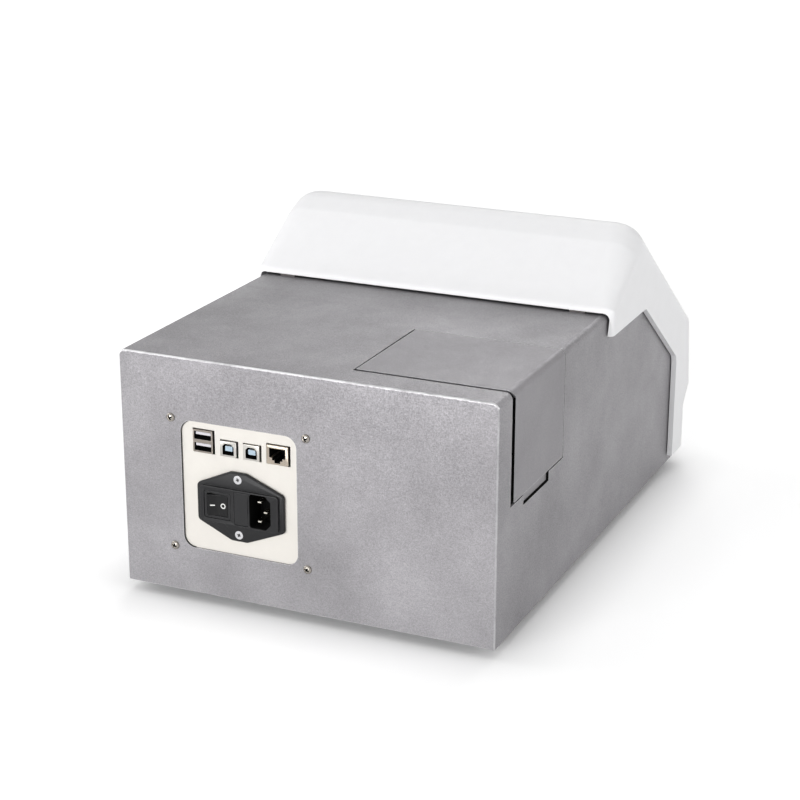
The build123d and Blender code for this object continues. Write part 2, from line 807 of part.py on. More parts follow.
# Parts on the main board: processor with its heat sink, chips, capacitors, connectors
with BuildPart() as board_parts:
    with Locations(spot(60, 64, board_z)):
        Box(26, 26, 3, align=(Align.CENTER, Align.CENTER, Align.MIN))
    with Locations(spot(60, 64, board_z + 3)):
        with GridLocations(4.9, 0, 6, 1):
            Box(1.5, 26, 9, align=(Align.CENTER, Align.CENTER, Align.MIN))
    for x, depth, w, length, h in (
        (26, 60, 14, 20, 1.8),
        (26, 92, 18, 18, 1.6),
        (84, 100, 12, 8, 1.8),
        (60, 108, 40, 6, 8),
        (96, 60, 6, 34, 8),
    ):
        with Locations(spot(x, depth, board_z)):
            Box(w, length, h, align=(Align.CENTER, Align.CENTER, Align.MIN))
    with Locations(*[spot(x, depth, board_z) for x, depth in ((6, 46), (6, 60), (6, 74), (82, 44))]):
        Cylinder(4, 10, align=(Align.CENTER, Align.CENTER, Align.MIN))
board_parts.part.label = "board_parts"
export_step(board_parts.part, "parts/board_parts.step")

# Board tray: a sheet shelf over the inlet, carried by four pillars
with BuildPart() as board_tray:
    with BuildSketch(Plane.XY.offset(base_z + tray_h)):
        with Locations(spot((tray_x0 + tray_x1) / 2, (tray_rear + tray_front) / 2, 0)[:2]):
            RectangleRounded(tray_x1 - tray_x0, tray_front - tray_rear, 3)
        with Locations(spot((tray_x0 + tray_x1) / 2, 104, 0)[:2]):
            RectangleRounded(90, 24, 4, mode=Mode.SUBTRACT)
    extrude(amount=tray_t)
board_tray.part.label = "board_tray"
export_step(board_tray.part, "parts/board_tray.step")

# Spacers: tray pillars, board spacers, power board spacers and detector board spacers
detector_lift = 4.5
power_corner = (power_w / 2 - 4, power_len / 2 - 5)
power_corners = [(sx * power_corner[0], sd * power_corner[1]) for sx in (-1, 1) for sd in (-1, 1)]
spacer_sets = [
    (pillar_r, deck_z, base_z + tray_h - deck_z, [(x, d) for x in pillar_x for d in pillar_depth]),
    (
        spacer_r,
        base_z + tray_h + tray_t,
        board_h - board_t - tray_h - tray_t,
        [(x, d) for x in (board_x0 + 5, board_x1 - 5) for d in (tray_rear + 8, tray_front - 8)],
    ),
    (
        spacer_r,
        deck_z,
        power_lift,
        [(power_x + dx, power_depth + dd) for dx, dd in power_corners],
    ),
    (2.0, deck_z, detector_lift, [(sx * 34, head_depth + sd * 7) for sx in (-1, 1) for sd in (-1, 1)]),
]
with BuildPart() as spacers:
    for radius, z, height, spots in spacer_sets:
        with Locations(*[spot(x, d, z) for x, d in spots]):
            Cylinder(radius, height, align=(Align.CENTER, Align.CENTER, Align.MIN))
spacers.part.label = "spacers"
export_step(spacers.part, "parts/spacers.step")

# USB-A socket: a double-height steel shell with two mouths
with BuildPart() as usb_a_socket:
    with BuildSketch(at_depth(sheet - port_proud)):
        with Locations((usb_a_x, board_z + usb_a_h / 2)):
            Rectangle(usb_a_w, usb_a_h)
    extrude(amount=usb_a_len)
    with BuildSketch(at_depth(sheet - port_proud)):
        with Locations((usb_a_x, board_z + usb_a_h / 2)):
            with GridLocations(0, usb_a_h / 2 - 0.1, 1, 2):
                Rectangle(usb_a_w - 2 * shell_t - 0.6, usb_a_h / 2 - 2 * shell_t - 1.0)
    extrude(amount=usb_a_len - 5, mode=Mode.SUBTRACT)
usb_a_socket.part.label = "usb_a_socket"
export_step(usb_a_socket.part, "parts/usb_a_socket.step")

# USB-B sockets: two steel shells with a mouth that has two cut corners
with BuildPart() as usb_b_sockets:
    for x in usb_b_x:
        with BuildSketch(at_depth(sheet - port_proud)):
            with Locations((x, board_z + usb_b_h / 2)):
                Rectangle(usb_b_w, usb_b_h)
        extrude(amount=usb_b_len)
        with BuildSketch(at_depth(sheet - port_proud)):
            with Locations((x, board_z + usb_b_h / 2 - 0.3)):
                mouth = Rectangle(8.6, 8.0)
            chamfer(mouth.vertices().group_by(Axis.Y)[-1], 1.8)
        extrude(amount=usb_b_len - 4, mode=Mode.SUBTRACT)
usb_b_sockets.part.label = "usb_b_sockets"
export_step(usb_b_sockets.part, "parts/usb_b_sockets.step")

# USB tongues: the contact blades in the four USB mouths
with BuildPart() as usb_tongues:
    with BuildSketch(at_depth(sheet - port_proud + 1.2)):
        with Locations((usb_a_x, board_z + usb_a_h / 2)):
            with GridLocations(0, usb_a_h / 2 - 0.1, 1, 2):
                with Locations((0, 1.2)):
                    Rectangle(usb_a_w - 2 * shell_t - 2.2, 2.0)
    extrude(amount=usb_a_len - 5 - 1.2)
    with BuildSketch(at_depth(sheet - port_proud + 1.2)):
        for x in usb_b_x:
            with Locations((x, board_z + usb_b_h / 2 - 0.3)):
                Rectangle(5.6, 3.2)
    extrude(amount=usb_b_len - 4 - 1.2)
usb_tongues.part.label = "usb_tongues"
export_step(usb_tongues.part, "parts/usb_tongues.step")

# Network socket: a steel shell with the eight-way cavity and its latch notch
with BuildPart() as network_socket:
    with BuildSketch(at_depth(sheet - port_proud)):
        with Locations((lan_x, board_z + lan_h / 2)):
            Rectangle(lan_w, lan_h)
    extrude(amount=lan_len)
    with BuildSketch(at_depth(sheet - port_proud)):
        with Locations((lan_x, board_z + lan_h / 2 + 1.2)):
            Rectangle(11.8, 7.6)
        with Locations((lan_x, board_z + lan_h / 2 - 2.6)):
            Rectangle(6.2, 3.4)
    extrude(amount=lan_len - 5, mode=Mode.SUBTRACT)
network_socket.part.label = "network_socket"
export_step(network_socket.part, "parts/network_socket.step")

# Mains inlet housing: hexagonal flange, raised block, rocker well, fuse slot and three-pin socket
inlet_face = sheet - inlet_flange_t - inlet_raise
socket_x_abs = inlet_x + socket_x
fuse_x_abs = inlet_x + fuse_x
rocker_x_abs = inlet_x + rocker_x
rocker_well = 12.0
pin_spots = [
    (socket_x_abs + 1.0, inlet_z + pin_pitch / 2),
    (socket_x_abs + 1.0, inlet_z - pin_pitch / 2),
    (socket_x_abs - earth_in, inlet_z),
]
with BuildPart() as inlet_housing:
    with BuildSketch(at_depth(sheet)):
        with BuildLine():
            Polyline(
                (inlet_x - inlet_w / 2, inlet_z - inlet_edge_h / 2),
                (inlet_x - inlet_w / 2, inlet_z + inlet_edge_h / 2),
                (inlet_x + inlet_screw_x - inlet_tip_w / 2, inlet_z + inlet_tip_h / 2),
                (inlet_x + inlet_screw_x + inlet_tip_w / 2, inlet_z + inlet_tip_h / 2),
                (inlet_x + inlet_w / 2, inlet_z + inlet_edge_h / 2),
                (inlet_x + inlet_w / 2, inlet_z - inlet_edge_h / 2),
                (inlet_x + inlet_screw_x + inlet_tip_w / 2, inlet_z - inlet_tip_h / 2),
                (inlet_x + inlet_screw_x - inlet_tip_w / 2, inlet_z - inlet_tip_h / 2),
                close=True,
            )
        flange_face = make_face()
        fillet(flange_face.vertices(), 2.5)
    extrude(amount=-inlet_flange_t)
    with BuildSketch(at_depth(inlet_face)):
        with Locations((inlet_x, inlet_z)):
            Rectangle(inlet_body_w - 2 * fit_gap, inlet_body_h - 2 * fit_gap)
    extrude(amount=inlet_depth + inlet_flange_t + inlet_raise)
    with BuildSketch(at_depth(inlet_face)):
        with Locations((socket_x_abs, inlet_z)):
            mouth = Rectangle(socket_w, socket_h)
        chamfer(mouth.vertices().group_by(Axis.X)[0], socket_cut)
    extrude(amount=socket_depth, mode=Mode.SUBTRACT)
    with BuildSketch(at_depth(inlet_face)):
        with Locations((fuse_x_abs, inlet_z)):
            Rectangle(fuse_w, fuse_h)
    extrude(amount=drawer_depth + 1, mode=Mode.SUBTRACT)
    with BuildSketch(at_depth(inlet_face)):
        with Locations((rocker_x_abs, inlet_z)):
            Rectangle(rocker_well_w, rocker_h + 2 * slot_gap)
    extrude(amount=rocker_well, mode=Mode.SUBTRACT)
    with Locations(spot(rocker_x_abs, inlet_face + rocker_axis_in, inlet_z)):
        Cylinder(trunnion_r + bush_run, rocker_h + 4, mode=Mode.SUBTRACT)
    with BuildSketch(at_depth(inlet_face)):
        with Locations(*pin_spots):
            Rectangle(pin_w, pin_t)
    extrude(amount=inlet_depth + inlet_flange_t + inlet_raise, mode=Mode.SUBTRACT)
    with BuildSketch(at_depth(sheet - inlet_flange_t)):
        with Locations((inlet_x + inlet_screw_x, inlet_z)):
            with GridLocations(0, screw_pitch, 1, 2):
                Circle(m3_r + m3_clear)
    extrude(amount=inlet_flange_t, mode=Mode.SUBTRACT)
    for side in (-1, 1):
        with BuildSketch(at_depth(sheet - inlet_flange_t)):
            with Locations((inlet_x + inlet_screw_x, inlet_z + side * screw_pitch / 2)):
                Circle(m3_head_r)
        extrude(amount=m3_head_r - m3_r, taper=45, mode=Mode.SUBTRACT)
inlet_housing.part.label = "inlet_housing"
export_step(inlet_housing.part, "parts/inlet_housing.step")

# Inlet pins: three flat blades that run through to solder tags
pin_end = inlet_depth + inlet_flange_t + inlet_raise + 7
with BuildPart() as inlet_pins:
    with BuildSketch(at_depth(inlet_face + 1.5)):
        with Locations(*pin_spots):
            Rectangle(pin_w, pin_t)
    extrude(amount=pin_end - 1.5)
inlet_pins.part.label = "inlet_pins"
export_step(inlet_pins.part, "parts/inlet_pins.step")

# Inlet screws: two countersunk screws through the flange into the connector plate
with BuildPart() as inlet_screws:
    for side in (-1, 1):
        with BuildSketch(at_depth(sheet - inlet_flange_t)):
            with Locations((inlet_x + inlet_screw_x, inlet_z + side * screw_pitch / 2)):
                Circle(m3_head_r)
        extrude(amount=m3_head_r - m3_r, taper=45)
        with BuildSketch(at_depth(sheet - inlet_flange_t)):
            with Locations((inlet_x + inlet_screw_x, inlet_z + side * screw_pitch / 2)):
                Circle(m3_r)
        extrude(amount=inlet_flange_t + plate_t + 3)
        with BuildSketch(at_depth(sheet - inlet_flange_t)):
            with Locations((inlet_x + inlet_screw_x, inlet_z + side * screw_pitch / 2)):
                Rectangle(3.6, cross_w)
                Rectangle(cross_w, 3.6)
        extrude(amount=1.0, mode=Mode.SUBTRACT)
inlet_screws.part.label = "inlet_screws"
export_step(inlet_screws.part, "parts/inlet_screws.step")

# Power rocker: rests with its O side pressed, on two trunnions
axis_depth = inlet_face + rocker_axis_in
with BuildPart() as power_rocker:
    with BuildSketch(Plane.XY.offset(inlet_z - rocker_h / 2)):
        with Locations(spot(rocker_x_abs, axis_depth, 0)[:2]):
            Polygon(
                (-rocker_half, rocker_crown),
                (0, rocker_dip),
                (rocker_half, rocker_crown),
                (rocker_half + slot_gap, 0),
                (rocker_half / 2, -rocker_crown),
                (-rocker_half / 2, -rocker_crown),
                (-rocker_half - slot_gap, 0),
                rotation=rocker_tilt_deg,
                align=None,
            )
    extrude(amount=rocker_h)
    with Locations(spot(rocker_x_abs, axis_depth, inlet_z)):
        Cylinder(trunnion_r, rocker_h + 3)
power_rocker.part.label = "power_rocker"
export_step(power_rocker.part, "parts/power_rocker.step")

# Fuse drawer: a plain front on a carrier with two fuse pockets
drawer_fit = 0.2
with BuildPart() as fuse_drawer:
    with BuildSketch(at_depth(inlet_face)):
        with Locations((fuse_x_abs, inlet_z)):
            Rectangle(fuse_w - 2 * drawer_fit, fuse_h - 2 * drawer_fit)
    extrude(amount=drawer_depth)
    with BuildSketch(Plane.YZ.offset(fuse_x_abs - fuse_w)):
        with Locations(*[(rear_y - inlet_face - d, inlet_z) for d in (6.5, 14.0)]):
            Rectangle(2 * fuse_r + 0.4, fuse_len + 0.4)
    extrude(amount=2 * fuse_w, mode=Mode.SUBTRACT)
fuse_drawer.part.label = "fuse_drawer"
export_step(fuse_drawer.part, "parts/fuse_drawer.step")

# Fuses: a working one and a spare
with BuildPart() as fuses:
    with Locations(*[spot(fuse_x_abs, inlet_face + d, inlet_z) for d in (6.5, 14.0)]):
        Cylinder(fuse_r, fuse_len)
fuses.part.label = "fuses"
export_step(fuses.part, "parts/fuses.step")

# Power board
power_z = deck_z + power_lift
with BuildPart() as power_board:
    with BuildSketch(Plane.XY.offset(power_z)):
        with Locations(spot(power_x, power_depth, 0)[:2]):
            Rectangle(power_w, power_len)
    extrude(amount=board_t)
power_board.part.label = "power_board"
export_step(power_board.part, "parts/power_board.step")

# Parts on the power board: transformer, capacitors, heat sinks, terminal block
with BuildPart() as power_parts:
    top = power_z + board_t
    with Locations(spot(power_x, power_depth + 8, top)):
        Box(30, 28, 24, align=(Align.CENTER, Align.CENTER, Align.MIN))
    with Locations(spot(power_x, power_depth + 8, top + 6)):
        Box(34, 24, 12, align=(Align.CENTER, Align.CENTER, Align.MIN))
    can_spots = [(-8, -22), (12, -24), (14, 38), (0, 38)]
    with Locations(*[spot(power_x + dx, power_depth + dd, top) for dx, dd in can_spots]):
        Cylinder(6.0, 22, align=(Align.CENTER, Align.CENTER, Align.MIN))
    with Locations(*[spot(power_x + s * (power_w / 2 - 2.5), power_depth + 8, top) for s in (-1, 1)]):
        Box(2, 44, 26, align=(Align.CENTER, Align.CENTER, Align.MIN))
    with Locations(spot(power_x, power_depth - power_len / 2 + 5, top)):
        Box(26, 8, 11, align=(Align.CENTER, Align.CENTER, Align.MIN))
power_parts.part.label = "power_parts"
export_step(power_parts.part, "parts/power_parts.step")

# Lamp bracket: an inverted U over the fan
with BuildPart() as lamp_bracket:
    with BuildSketch(at_depth(lamp_depth - shelf_len / 2)):
        with Locations(((shelf_x0 + shelf_x1) / 2, (deck_z + base_z + shelf_h + sheet) / 2)):
            Rectangle(shelf_x1 - shelf_x0, base_z + shelf_h + sheet - deck_z)
        with Locations(((shelf_x0 + shelf_x1) / 2, (deck_z + base_z + shelf_h) / 2)):
            Rectangle(shelf_x1 - shelf_x0 - 2 * sheet, base_z + shelf_h - deck_z, mode=Mode.SUBTRACT)
    extrude(amount=shelf_len)
    with Locations(spot((shelf_x0 + shelf_x1) / 2, lamp_depth, deck_z + 30)):
        with GridLocations(shelf_x1 - shelf_x0 - sheet, 0, 2, 1):
            Box(4 * sheet, 26, 34, align=(Align.CENTER, Align.CENTER, Align.MIN), mode=Mode.SUBTRACT)
lamp_bracket.part.label = "lamp_bracket"
export_step(lamp_bracket.part, "parts/lamp_bracket.step")

# Lamp house: a finned aluminium block, bored down for the lamp and forward for the beam
lamp_z = base_z + shelf_h + sheet
with BuildPart() as lamp_house:
    with Locations(spot(optical_x, lamp_depth, lamp_z)):
        Box(lamp_w, lamp_len, lamp_h, align=(Align.CENTER, Align.CENTER, Align.MIN))
        for s in (-1, 1):
            with Locations((s * lamp_w / 2, 0, 3 + lamp_h / 2)):
                with GridLocations(0, 6, 1, 6):
                    Box(12, 3, lamp_h - 6, mode=Mode.SUBTRACT)
        Cylinder(
            lamp_bore_r,
            2 * lamp_h,
            align=(Align.CENTER, Align.CENTER, Align.CENTER),
            mode=Mode.SUBTRACT,
        )
    with BuildSketch(at_depth(lamp_depth)):
        with Locations((optical_x, optical_z)):
            Circle(beam_r)
    extrude(amount=lamp_len, mode=Mode.SUBTRACT)
lamp_house.part.label = "lamp_house"
export_step(lamp_house.part, "parts/lamp_house.step")

# Lamp socket: a ceramic plug at the foot of the bore
socket_top = 10.0
with BuildPart() as lamp_socket:
    with Locations(spot(optical_x, lamp_depth, lamp_z)):
        Cylinder(lamp_bore_r - fit_gap, socket_top, align=(Align.CENTER, Align.CENTER, Align.MIN))
        with Locations((0, 0, socket_top - 3)):
            Box(7.2, 5.2, 6, align=(Align.CENTER, Align.CENTER, Align.MIN), mode=Mode.SUBTRACT)
lamp_socket.part.label = "lamp_socket"
export_step(lamp_socket.part, "parts/lamp_socket.step")

# Halogen lamp: a flat pinch foot and a round-topped bulb
with BuildPart() as halogen_lamp:
    with Locations(spot(optical_x, lamp_depth, lamp_z + socket_top - 3)):
        Box(7.0, 5.0, 8, align=(Align.CENTER, Align.CENTER, Align.MIN))
        with Locations((0, 0, 7)):
            Cylinder(bulb_r, 11, align=(Align.CENTER, Align.CENTER, Align.MIN))
        with Locations((0, 0, 18)):
            Sphere(bulb_r)
halogen_lamp.part.label = "halogen_lamp"
export_step(halogen_lamp.part, "parts/halogen_lamp.step")

# Lamp fan frame, on the deck over the vent slots
with BuildPart() as lamp_fan:
    with BuildSketch(Plane.XY.offset(deck_z)):
        with Locations(spot(fan_x, lamp_depth, 0)[:2]):
            RectangleRounded(fan_size, fan_size, 3)
            Circle(fan_r, mode=Mode.SUBTRACT)
            with GridLocations(fan_size - 8, fan_size - 8, 2, 2):
                Circle(1.7, mode=Mode.SUBTRACT)
    extrude(amount=fan_t)
    with BuildSketch(Plane.XY.offset(deck_z)):
        with Locations(spot(fan_x, lamp_depth, 0)[:2]):
            Circle(8)
            with PolarLocations(fan_r / 2, 3):
                Rectangle(fan_r + 2, 2.5)
    extrude(amount=1.5)
    with BuildSketch(Plane.XY.offset(deck_z)):
        with Locations(spot(fan_x, lamp_depth, 0)[:2]):
            Circle(fan_pin_r)
    extrude(amount=8)
lamp_fan.part.label = "lamp_fan"
export_step(lamp_fan.part, "parts/lamp_fan.step")

# Fan rotor: a cup hub with seven pitched blades
hub_r = 9.0
blade_count = 7
with BuildPart() as fan_rotor:
    with Locations(spot(fan_x, lamp_depth, deck_z + 2.2)):
        Cylinder(hub_r, fan_t - 3.2, align=(Align.CENTER, Align.CENTER, Align.MIN))
        with PolarLocations(hub_r + (fan_r - 0.8 - hub_r) / 2 - 0.5, blade_count):
            Box(
                fan_r - 0.8 - hub_r + 1,
                1.2,
                fan_t - 5,
                rotation=(35, 0, 0),
                align=(Align.CENTER, Align.CENTER, Align.MIN),
            )
        Cylinder(
            fan_pin_r + bush_run,
            8 - 2.2 + 0.3,
            align=(Align.CENTER, Align.CENTER, Align.MIN),
            mode=Mode.SUBTRACT,
        )
fan_rotor.part.label = "fan_rotor"
export_step(fan_rotor.part, "parts/fan_rotor.step")

# Glass lenses: the condenser in the lamp house and one lens under each channel of the head
condenser_r = beam_r - press_gap
with BuildPart() as glass_lenses:
    with BuildSketch(at_depth(lamp_depth + lamp_len / 2 - 6)):
        with Locations((optical_x, optical_z)):
            Circle(condenser_r)
    extrude(amount=5)
    fillet(glass_lenses.edges().filter_by(GeomType.CIRCLE), 1.6)
    with Locations(*[spot(x, head_depth, head_z + 0.5) for x in channel_x]):
        Cylinder(lens_r, 2.5, align=(Align.CENTER, Align.CENTER, Align.MIN))
glass_lenses.part.label = "glass_lenses"
export_step(glass_lenses.part, "parts/glass_lenses.step")

# Optics plate: carries the filter motor and the light collector
plate_top = optical_z - base_z + collector_h
with BuildPart() as optics_plate:
    with BuildSketch(at_depth(optics_plate_depth)):
        with BuildLine():
            Polyline(
                (optics_plate_x0, deck_z),
                (optics_plate_x0, base_z + plate_top),
                (optics_plate_x1, base_z + plate_top),
                (optics_plate_x1, base_z + 40),
                (optics_foot_x, base_z + 40),
                (optics_foot_x, deck_z),
                close=True,
            )
        make_face()
        with Locations((wheel_x, base_z + wheel_h)):
            Circle(11.2, mode=Mode.SUBTRACT)
        with Locations((optical_x, optical_z)):
            Rectangle(collector_w + 2 * press_gap, collector_h + 2 * press_gap, mode=Mode.SUBTRACT)
    extrude(amount=optics_plate_t)
    with Locations(spot((optics_plate_x0 + optics_foot_x) / 2, optics_plate_depth, deck_z)):
        Box(optics_foot_x - optics_plate_x0, 16, 2.5, align=(Align.CENTER, Align.MAX, Align.MIN))
optics_plate.part.label = "optics_plate"
export_step(optics_plate.part, "parts/optics_plate.step")


def motor_sketch():
    """The square face of a small stepper motor with its corners cut."""
    face = Rectangle(motor_size, motor_size)
    chamfer(face.vertices(), 3.5)


# Filter motor, with its pilot boss in the optics plate and a bore for the wheel's shaft
motor_boss = 2.0
shaft_in = 8.0
with BuildPart() as filter_motor:
    with BuildSketch(at_depth(optics_plate_depth + optics_plate_t)):
        with Locations((wheel_x, base_z + wheel_h)):
            motor_sketch()
    extrude(amount=motor_len)
    with BuildSketch(at_depth(optics_plate_depth + optics_plate_t - motor_boss)):
        with Locations((wheel_x, base_z + wheel_h)):
            Circle(11)
    extrude(amount=motor_boss)
    with BuildSketch(at_depth(optics_plate_depth + optics_plate_t - motor_boss)):
        with Locations((wheel_x, base_z + wheel_h)):
            Circle(shaft_r + bush_run)
    extrude(amount=motor_boss + shaft_in, mode=Mode.SUBTRACT)
filter_motor.part.label = "filter_motor"
export_step(filter_motor.part, "parts/filter_motor.step")

# Filter wheel on the motor's shaft
with BuildPart() as filter_wheel:
    with BuildSketch(at_depth(wheel_depth)):
        with Locations((wheel_x, base_z + wheel_h)):
            Circle(wheel_r)
            with PolarLocations(filter_pcd_r, filter_count, start_angle=90):
                Circle(filter_r + press_gap, mode=Mode.SUBTRACT)
    extrude(amount=wheel_t)
    with BuildSketch(at_depth(wheel_depth - 4)):
        with Locations((wheel_x, base_z + wheel_h)):
            Circle(8)
    extrude(amount=4)
    with BuildSketch(at_depth(wheel_depth - 4)):
        with Locations((wheel_x, base_z + wheel_h)):
            Circle(shaft_r)
    extrude(amount=optics_plate_depth + optics_plate_t + shaft_in - 1 - wheel_depth + 4)
filter_wheel.part.label = "filter_wheel"
export_step(filter_wheel.part, "parts/filter_wheel.step")

# Optical filters in the wheel
with BuildPart() as optical_filters:
    with BuildSketch(at_depth(wheel_depth + 0.5)):
        with Locations((wheel_x, base_z + wheel_h)):
            with PolarLocations(filter_pcd_r, filter_count, start_angle=90):
                Circle(filter_r)
    extrude(amount=wheel_t - 1)
optical_filters.part.label = "optical_filters"
export_step(optical_filters.part, "parts/optical_filters.step")

# Light collector: the ferrule that holds the eight light guides behind the filter
collector_start = wheel_depth + wheel_t + 1.5
with BuildPart() as light_collector:
    with BuildSketch(at_depth(collector_start)):
        with Locations((optical_x, optical_z)):
            Rectangle(collector_w, collector_h)
    extrude(amount=collector_len)
light_collector.part.label = "light_collector"
export_step(light_collector.part, "parts/light_collector.step")

# Light guides: eight fibres from the collector to the measuring head
guide_start = collector_start + collector_len
head_top = head_z + head_h
guide_turn = guide_start + 38
guide_high = optical_z - 14
guide_bend_r = 24.0
with BuildPart() as light_guides:
    for i, x_end in enumerate(channel_x):
        x_start = optical_x + guide_pitch * (i - (channels - 1) / 2)
        with BuildLine():
            path = FilletPolyline(
                spot(x_start, guide_start, optical_z),
                spot(x_start, guide_turn, optical_z),
                spot(x_end, head_depth, guide_high),
                spot(x_end, head_depth, head_top),
                radius=guide_bend_r,
            )
        with BuildSketch(Plane(origin=path @ 0, z_dir=path % 0)):
            Circle(guide_r)
        sweep(path=path)
light_guides.part.label = "light_guides"
export_step(light_guides.part, "parts/light_guides.step")

# Optics head: a bridge across the plate's path with one bore for each channel
head_rear = head_depth - head_len / 2
with BuildPart() as optics_head:
    with BuildSketch(at_depth(head_rear)):
        with Locations((0, head_z + head_h / 2)):
            Rectangle(2 * (head_leg_x + head_leg_w), head_h)
        with Locations(*[(s * (head_leg_x + head_leg_w / 2), (deck_z + head_z) / 2) for s in (-1, 1)]):
            Rectangle(head_leg_w, head_z - deck_z)
    extrude(amount=head_len)
    with BuildSketch(Plane.XY.offset(head_z)):
        with Locations(*[spot(x, head_depth, 0)[:2] for x in channel_x]):
            Circle(lens_r + press_gap)
    extrude(amount=head_h - 6, mode=Mode.SUBTRACT)
    with BuildSketch(Plane.XY.offset(head_z)):
        with Locations(*[spot(x, head_depth, 0)[:2] for x in channel_x]):
            Circle(guide_r - 0.2)
    extrude(amount=head_h, mode=Mode.SUBTRACT)
optics_head.part.label = "optics_head"
export_step(optics_head.part, "parts/optics_head.step")

# Detector board under the plate's path
with BuildPart() as detector_board:
    with BuildSketch(Plane.XY.offset(deck_z + detector_lift)):
        with Locations(spot(0, head_depth, 0)[:2]):
            Rectangle(75, head_len)
    extrude(amount=board_t)
detector_board.part.label = "detector_board"
export_step(detector_board.part, "parts/detector_board.step")

# Photodiodes: one can for each channel
with BuildPart() as photodiodes:
    with Locations(*[spot(x, head_depth, deck_z + detector_lift + board_t) for x in channel_x]):
        Cylinder(4.0, 3.5, align=(Align.CENTER, Align.CENTER, Align.MIN))
        with Locations((0, 0, 3.5)):
            Cylinder(2.5, 1.2, mode=Mode.SUBTRACT)
photodiodes.part.label = "photodiodes"
export_step(photodiodes.part, "parts/photodiodes.step")

# Guide rods
rod_start = block_depth[0] - block_t / 2
rod_end = block_depth[1] + block_t / 2
with BuildPart() as guide_rods:
    with BuildSketch(at_depth(rod_start)):
        with Locations((0, rod_z)):
            with GridLocations(2 * rod_x, 0, 2, 1):
                Circle(rod_r)
    extrude(amount=rod_end - rod_start)
guide_rods.part.label = "guide_rods"
export_step(guide_rods.part, "parts/guide_rods.step")

# Rod blocks: four seats for the rods; the front right one also carries the idler's axle
pulley_w = belt_w + 2 * belt_gap + 2 * pulley_flange_t
axle_x = belt_x + pulley_w / 2 + 0.4
with BuildPart() as rod_blocks:
    for depth in block_depth:
        with BuildSketch(at_depth(depth - block_t / 2)):
            with Locations((0, (deck_z + rod_z + block_top) / 2)):
                with GridLocations(2 * rod_x, 0, 2, 1):
                    Rectangle(13, rod_z + block_top - deck_z)
            with Locations((0, rod_z)):
                with GridLocations(2 * rod_x, 0, 2, 1):
                    Circle(rod_r + press_gap, mode=Mode.SUBTRACT)
        extrude(amount=block_t)
    with Locations(spot(rod_x, block_depth[1], deck_z)):
        Box(
            axle_x + bracket_t - rod_x,
            block_t,
            3,
            align=(Align.MIN, Align.CENTER, Align.MIN),
        )
    with BuildSketch(Plane.YZ.offset(axle_x)):
        with Locations((rear_y - (idler_depth + block_depth[1]) / 2, (deck_z + axle_z + 5) / 2)):
            Rectangle(block_depth[1] - idler_depth + block_t, axle_z + 5 - deck_z)
    extrude(amount=bracket_t)
    with BuildSketch(Plane.YZ.offset(axle_x)):
        with Locations((rear_y - idler_depth, axle_z)):
            Circle(shaft_r)
    extrude(amount=-pulley_w)
    with BuildSketch(at_depth(block_depth[1] - block_t / 2)):
        with Locations((rod_x, rod_z)):
            Circle(rod_r + press_gap)
    extrude(amount=block_t, mode=Mode.SUBTRACT)
rod_blocks.part.label = "rod_blocks"
export_step(rod_blocks.part, "parts/rod_blocks.step")

# Plate carrier: a frame with the microplate's nest, four bush housings and a rear extension
nest_rear = nest_front - microplate_len - 2 * nest_gap
nest_x = microplate_w / 2 + nest_gap
carrier_front = toe_depth - cover_wall
with BuildPart() as plate_carrier:
    with BuildSketch(Plane.XY.offset(carrier_z)):
        with Locations(spot(0, (carrier_rear + carrier_front) / 2, 0)[:2]):
            Rectangle(carrier_w, carrier_front - carrier_rear)
        with Locations(spot(0, (nest_rear + nest_front) / 2, 0)[:2]):
            Rectangle(2 * (nest_x - ledge), nest_front - nest_rear - 2 * ledge, mode=Mode.SUBTRACT)
        with Locations(spot(0, (carrier_rear + nest_rear) / 2, 0)[:2]):
            RectangleRounded(62, nest_rear - carrier_rear - 30, 4, mode=Mode.SUBTRACT)
    extrude(amount=carrier_t)
    with BuildSketch(Plane.XY.offset(ledge_z)):
        with Locations(spot(0, (nest_rear - rim_t + carrier_front) / 2, 0)[:2]):
            Rectangle(2 * (nest_x + rim_t), carrier_front - nest_rear + rim_t)
        with Locations(spot(0, (nest_rear + nest_front) / 2, 0)[:2]):
            Rectangle(2 * nest_x, nest_front - nest_rear, mode=Mode.SUBTRACT)
    extrude(amount=rim_h)
    with Locations(spot(nest_x, (nest_rear + nest_front) / 2, ledge_z + sill_h)):
        Box(4 * rim_t, 34, rim_h, align=(Align.CENTER, Align.CENTER, Align.MIN), mode=Mode.SUBTRACT)
    for depth in bush_depth:
        with BuildSketch(at_depth(depth - bush_len / 2)):
            with Locations((0, rod_z + (carrier_lift - bush_r - 1.2) / 2)):
                with GridLocations(2 * rod_x, 0, 2, 1):
                    Rectangle(2 * bush_r + 2.4, carrier_lift + bush_r + 1.2)
            with Locations((0, rod_z)):
                with GridLocations(2 * rod_x, 0, 2, 1):
                    Circle(bush_r + press_gap, mode=Mode.SUBTRACT)
        extrude(amount=bush_len)
plate_carrier.part.label = "plate_carrier"
export_step(plate_carrier.part, "parts/plate_carrier.step")

# Carrier bushes, pressed into the carrier and running on the rods
with BuildPart() as carrier_bushes:
    for depth in bush_depth:
        with BuildSketch(at_depth(depth - bush_len / 2)):
            with Locations((0, rod_z)):
                with GridLocations(2 * rod_x, 0, 2, 1):
                    Circle(bush_r)
                    Circle(rod_r + bush_run, mode=Mode.SUBTRACT)
        extrude(amount=bush_len)
carrier_bushes.part.label = "carrier_bushes"
export_step(carrier_bushes.part, "parts/carrier_bushes.step")

